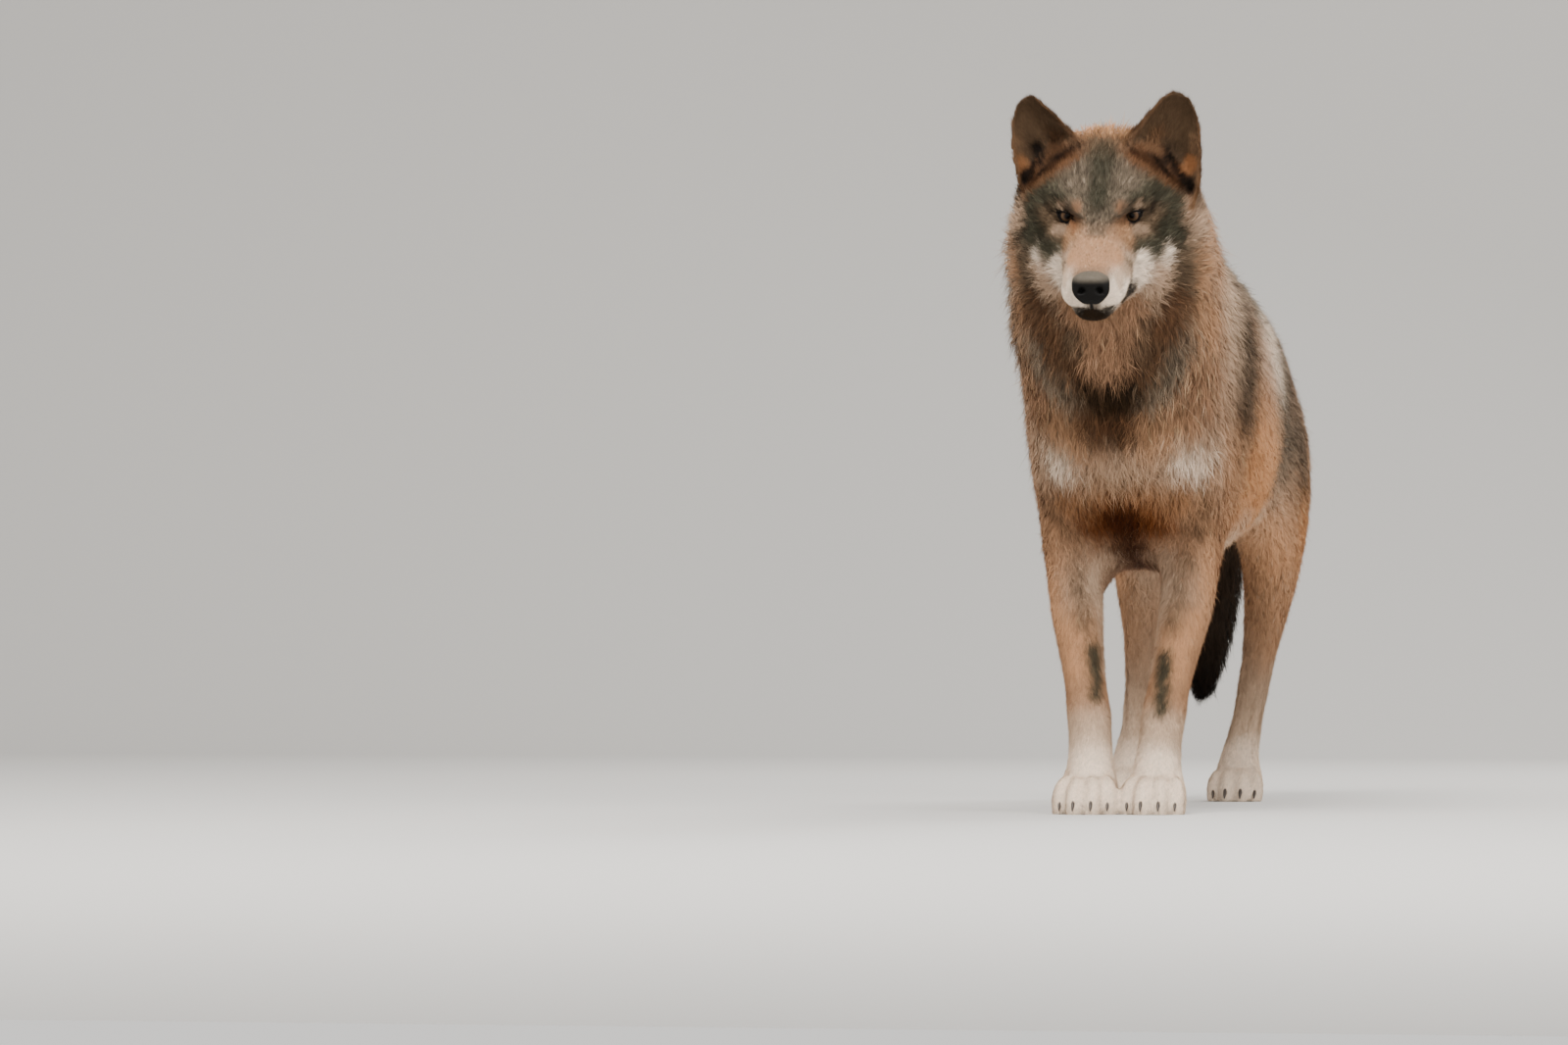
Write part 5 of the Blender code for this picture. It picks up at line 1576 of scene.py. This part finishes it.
def claw_look():
    horn = Look("claw_horn", 0.38, 0.5)
    streaks = horn.texture("ShaderNodeTexNoise", Scale=900.0, Detail=3.0)
    horn.ramp(streaks.outputs["Fac"], [(0, (0.010, 0.008, 0.007)), (1, (0.060, 0.042, 0.030))])
    horn.bumps(streaks.outputs["Fac"], 0.3, 0.0003)
    return horn.material


EYE_SPAN = 12.0  # millimetres from the middle of the pupil that the rings reach
EYE_RINGS = [  # millimetres from the middle of the pupil, colour
    (0.0, (0.002, 0.002, 0.002)),
    (2.3, (0.002, 0.002, 0.002)),
    (2.9, (0.018, 0.010, 0.006)),
    (4.2, (0.050, 0.029, 0.016)),
    (6.3, (0.066, 0.038, 0.020)),
    (7.1, (0.018, 0.010, 0.005)),
    (7.7, (0.003, 0.002, 0.002)),
    (EYE_SPAN, (0.005, 0.003, 0.003)),
]
IRIS_STREAKS = 0.03  # how far the streaks move a ring outwards at most, as a share of the span


def eye_look():
    eye = Look("eye", 0.22, 0.10)
    streaks = eye.texture("ShaderNodeTexNoise", Scale=1400.0, Detail=3.0)
    spread = eye.nodes.new("ShaderNodeMath")
    spread.operation = "MULTIPLY_ADD"
    spread.inputs[1].default_value = IRIS_STREAKS
    eye.links.new(streaks.outputs["Fac"], spread.inputs[0])
    eye.links.new(eye.attribute("ring").outputs["Fac"], spread.inputs[2])
    eye.ramp(spread.outputs["Value"], [(far / EYE_SPAN, tone) for far, tone in EYE_RINGS])
    return eye.material


# ---------------------------------------------------------------- eyes, nose pad and claws
GAZE_IN, GAZE_DOWN = 0.15, -0.06  # how far each pupil turns towards the nose, and down
CORNEA, CORNEA_BULGE = 8.2, 0.0010  # reach in millimetres, rise in metres


def make_eye(side, material):
    """A ball with a raised cornea. Its 'ring' is how far along the ball a point is from the pupil."""
    shape = bmesh.new()
    bmesh.ops.create_uvsphere(shape, u_segments=72, v_segments=48, radius=EYE_RADIUS)
    points = np.array([tuple(v.co) for v in shape.verts])
    faces = [[v.index for v in face.verts] for face in shape.faces]
    shape.free()
    gaze = Vector((-SIDES[side] * GAZE_IN, -1, -GAZE_DOWN))
    turn = np.array(Vector((0, 0, 1)).rotation_difference(gaze).to_matrix())
    ring = BALL * np.arccos(np.clip(points[:, 2] / EYE_RADIUS, -1, 1))
    bulge = CORNEA_BULGE * np.clip(1 - (ring / CORNEA) ** 2, 0, 1)
    points = points * (1 + bulge / EYE_RADIUS)[:, None] @ turn.T
    obj = mesh_object("eyeball_" + side, from_head(points + ball_centre(side)), faces)
    layer = obj.data.attributes.new("ring", "FLOAT", "POINT")
    layer.data.foreach_set("value", ring / EYE_SPAN - IRIS_STREAKS / 2)
    return finished(obj, material)


CLAWS = ((-0.0270, 0.040), (-0.0100, 0.054), (0.0100, 0.054), (0.0270, 0.040))  # out and reach of each


def claw_shapes(foot, pad, size):
    """The four claws of a foot."""
    made = []
    for out, reach in CLAWS:
        x, y = foot[0] + out * size, pad + foot[1] - reach * size
        rows = [
            (x, y + 0.006, 0.0155 * size, 0.0026, 0.0032),
            (x, y - 0.001, 0.0150 * size, 0.0027, 0.0036),
            (x, y - 0.006, 0.0122 * size, 0.0023, 0.0031),
            (x, y - 0.010, 0.0082 * size, 0.0016, 0.0022),
            (x, y - 0.0125, 0.0042 * size, 0.0006, 0.0008),
        ]
        made.append(limb(rows, ring_points=14, substeps=3))
    return made


def make_claws(kind, feet, pad, size, material):
    """The claws of a pair of feet, as one piece."""
    lofts = [claw for foot in feet.values() for claw in claw_shapes(foot, pad, size)]
    obj = mesh_object("claws_" + kind, *merged(lofts))
    reshaped(obj, lambda shape: bmesh.ops.recalc_face_normals(shape, faces=shape.faces))
    return finished(obj, material)


NOSE_BLACK = colour(0.0015, 0.001, 0.0008)
# painted light: the pad's top is a lighter grey where light from above falls on it
NOSE_TOP_LIT = colour(0.075, 0.063, 0.048)


def make_nose(skin, material):
    """The nose pad, parted from the skin along its edge."""
    pad = skin.nose[skin.triangles].mean(1) > 0.5
    used = np.unique(skin.triangles[pad])
    index = np.full(len(skin.points), -1)
    index[used] = np.arange(len(used))
    obj = mesh_object("nose_pad", skin.points[used], index[skin.triangles[pad]].tolist())
    head = mirrored(to_head(skin.points[used])) * MM
    # black in front, painted light grey on top
    tone = mixed(NOSE_BLACK, NOSE_TOP_LIT, smoothstep(19, 27, head[:, 2])[:, None])
    # painted shade: darker round the nostrils
    paint(obj.data, tone * (1 - 0.8 * bell(line_distance(head, [NOSTRIL]), 4.5)[:, None]))

    def part(shape):
        shape.faces.ensure_lookup_table()
        taken = [shape.faces[i] for i in np.nonzero(pad)[0]]
        bmesh.ops.delete(shape, geom=taken, context="FACES_ONLY")

    reshaped(skin.obj, part)
    return finished(obj, material)


# ---------------------------------------------------------------- floor, light and camera
FLOOR_FRONT, FLOOR_BACK, FLOOR_HALF = -4.5, 3.2, 5.0
BEND, WALL_TOP = 1.4, 5.0  # radius of the floor's bend up into the wall, and the wall's top
LIGHT_TARGET = (0, -0.1, 0.45)
WORLD_TONE = (1.0, 0.98, 0.95)
# Name, place, diameter, power, colour
LIGHTS = [
    ("key", (-0.5, -2.7, 3.4), 2.4, 285, (1.0, 0.97, 0.93)),
    ("fill", (2.6, -2.4, 1.6), 2.6, 110, (1.0, 0.98, 0.95)),
    ("rim", (1.2, 2.4, 2.6), 1.8, 110, (1.0, 0.98, 0.95)),
]
VIEW_TURN, VIEW_RAISE = math.radians(10.75), math.radians(0.84)
VIEW_DISTANCE, VIEW_ASIDE, VIEW_HEIGHT = 8.0, 0.385, 0.209
LENS, SENSOR = 163.64, 36.0  # millimetres


def cyclorama():
    """A pale floor that curves up into a backdrop."""
    bend = np.linspace(0, math.pi / 2, 24)[1:]
    rows = [(FLOOR_FRONT, 0), (FLOOR_BACK, 0)]
    rows += [(FLOOR_BACK + BEND * math.sin(a), BEND - BEND * math.cos(a)) for a in bend]
    rows += [(FLOOR_BACK + BEND, WALL_TOP)]
    points = [(x, y, z) for y, z in rows for x in (-FLOOR_HALF, FLOOR_HALF)]
    faces = [(2 * k, 2 * k + 1, 2 * k + 3, 2 * k + 2) for k in range(len(rows) - 1)]
    obj = mesh_object("studio_floor", np.array(points) - SHIFT, faces)
    paper = Look("studio_paper", 0.9)
    noise = paper.node("ShaderNodeTexNoise", Scale=2.0)
    paper.ramp(noise.outputs["Fac"], [(0, (0.47, 0.46, 0.445)), (1, (0.50, 0.49, 0.475))])
    finished(obj, paper.material)


def aimed(obj, place, way):
    """Puts a light or a camera at a place, facing a way."""
    obj.location = place
    obj.rotation_mode = "QUATERNION"
    obj.rotation_quaternion = way.to_track_quat("-Z", "Y")


def studio_light():
    for name, place, size, power, tone in LIGHTS:
        lamp = bpy.data.lights.new(name, "AREA")
        lamp.shape, lamp.size, lamp.energy, lamp.color = "DISK", size, power, tone
        aimed(linked(name, lamp), place, Vector(LIGHT_TARGET) - Vector(place))
    world = bpy.data.worlds.new("studio")
    bpy.context.scene.world = world
    world.use_nodes = True
    sky = world.node_tree.nodes["Background"]
    sky.inputs["Color"].default_value = (*WORLD_TONE, 1)
    sky.inputs["Strength"].default_value = 1.0


def camera():
    """Far off with a long lens, a little to the wolf's left of its nose, and low."""
    lens = bpy.data.cameras.new("camera")
    lens.lens, lens.sensor_width = LENS, SENSOR
    ahead = Vector((-math.sin(VIEW_TURN), math.cos(VIEW_TURN), 0))
    right = Vector((math.cos(VIEW_TURN), math.sin(VIEW_TURN), 0))
    place = Vector((0, 0, VIEW_HEIGHT)) - VIEW_DISTANCE * ahead - VIEW_ASIDE * right + Vector(SHIFT)
    obj = linked("camera", lens)
    aimed(obj, place, ahead * math.cos(VIEW_RAISE) + Vector((0, 0, math.sin(VIEW_RAISE))))
    bpy.context.scene.camera = obj


# ---------------------------------------------------------------- the scene
SKIN_SHADE = 0.72  # the skin's colour under the coat, as a share of the hair's


def dress():
    skin = Skin()
    paint(skin.obj.data, skin.tint * SKIN_SHADE)
    finished(skin.obj, skin_look())
    skin.uv = skin_map(skin)
    coat = make_coat(skin, coat_look())
    nose = make_nose(skin, nose_look())
    eye_made = eye_look()
    eyes = {side: make_eye(side, eye_made) for side in SIDES}
    horn = claw_look()
    claws = {
        "fore": make_claws("fore", FORE_FEET, FORE_PAD, 1.0, horn),
        "hind": make_claws("hind", HIND_FEET, HIND_PAD, HIND_SIZE, horn),
    }

    flesh = [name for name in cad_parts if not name.startswith(("eye_", "nose"))]
    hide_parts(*flesh)
    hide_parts("nose")
    for side, eye in eyes.items():
        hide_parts("eye_" + side)
    for piece in (skin.obj, nose, *coat, *eyes.values(), *claws.values()):
        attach(piece, "root")


dress()
cyclorama()
studio_light()
camera()
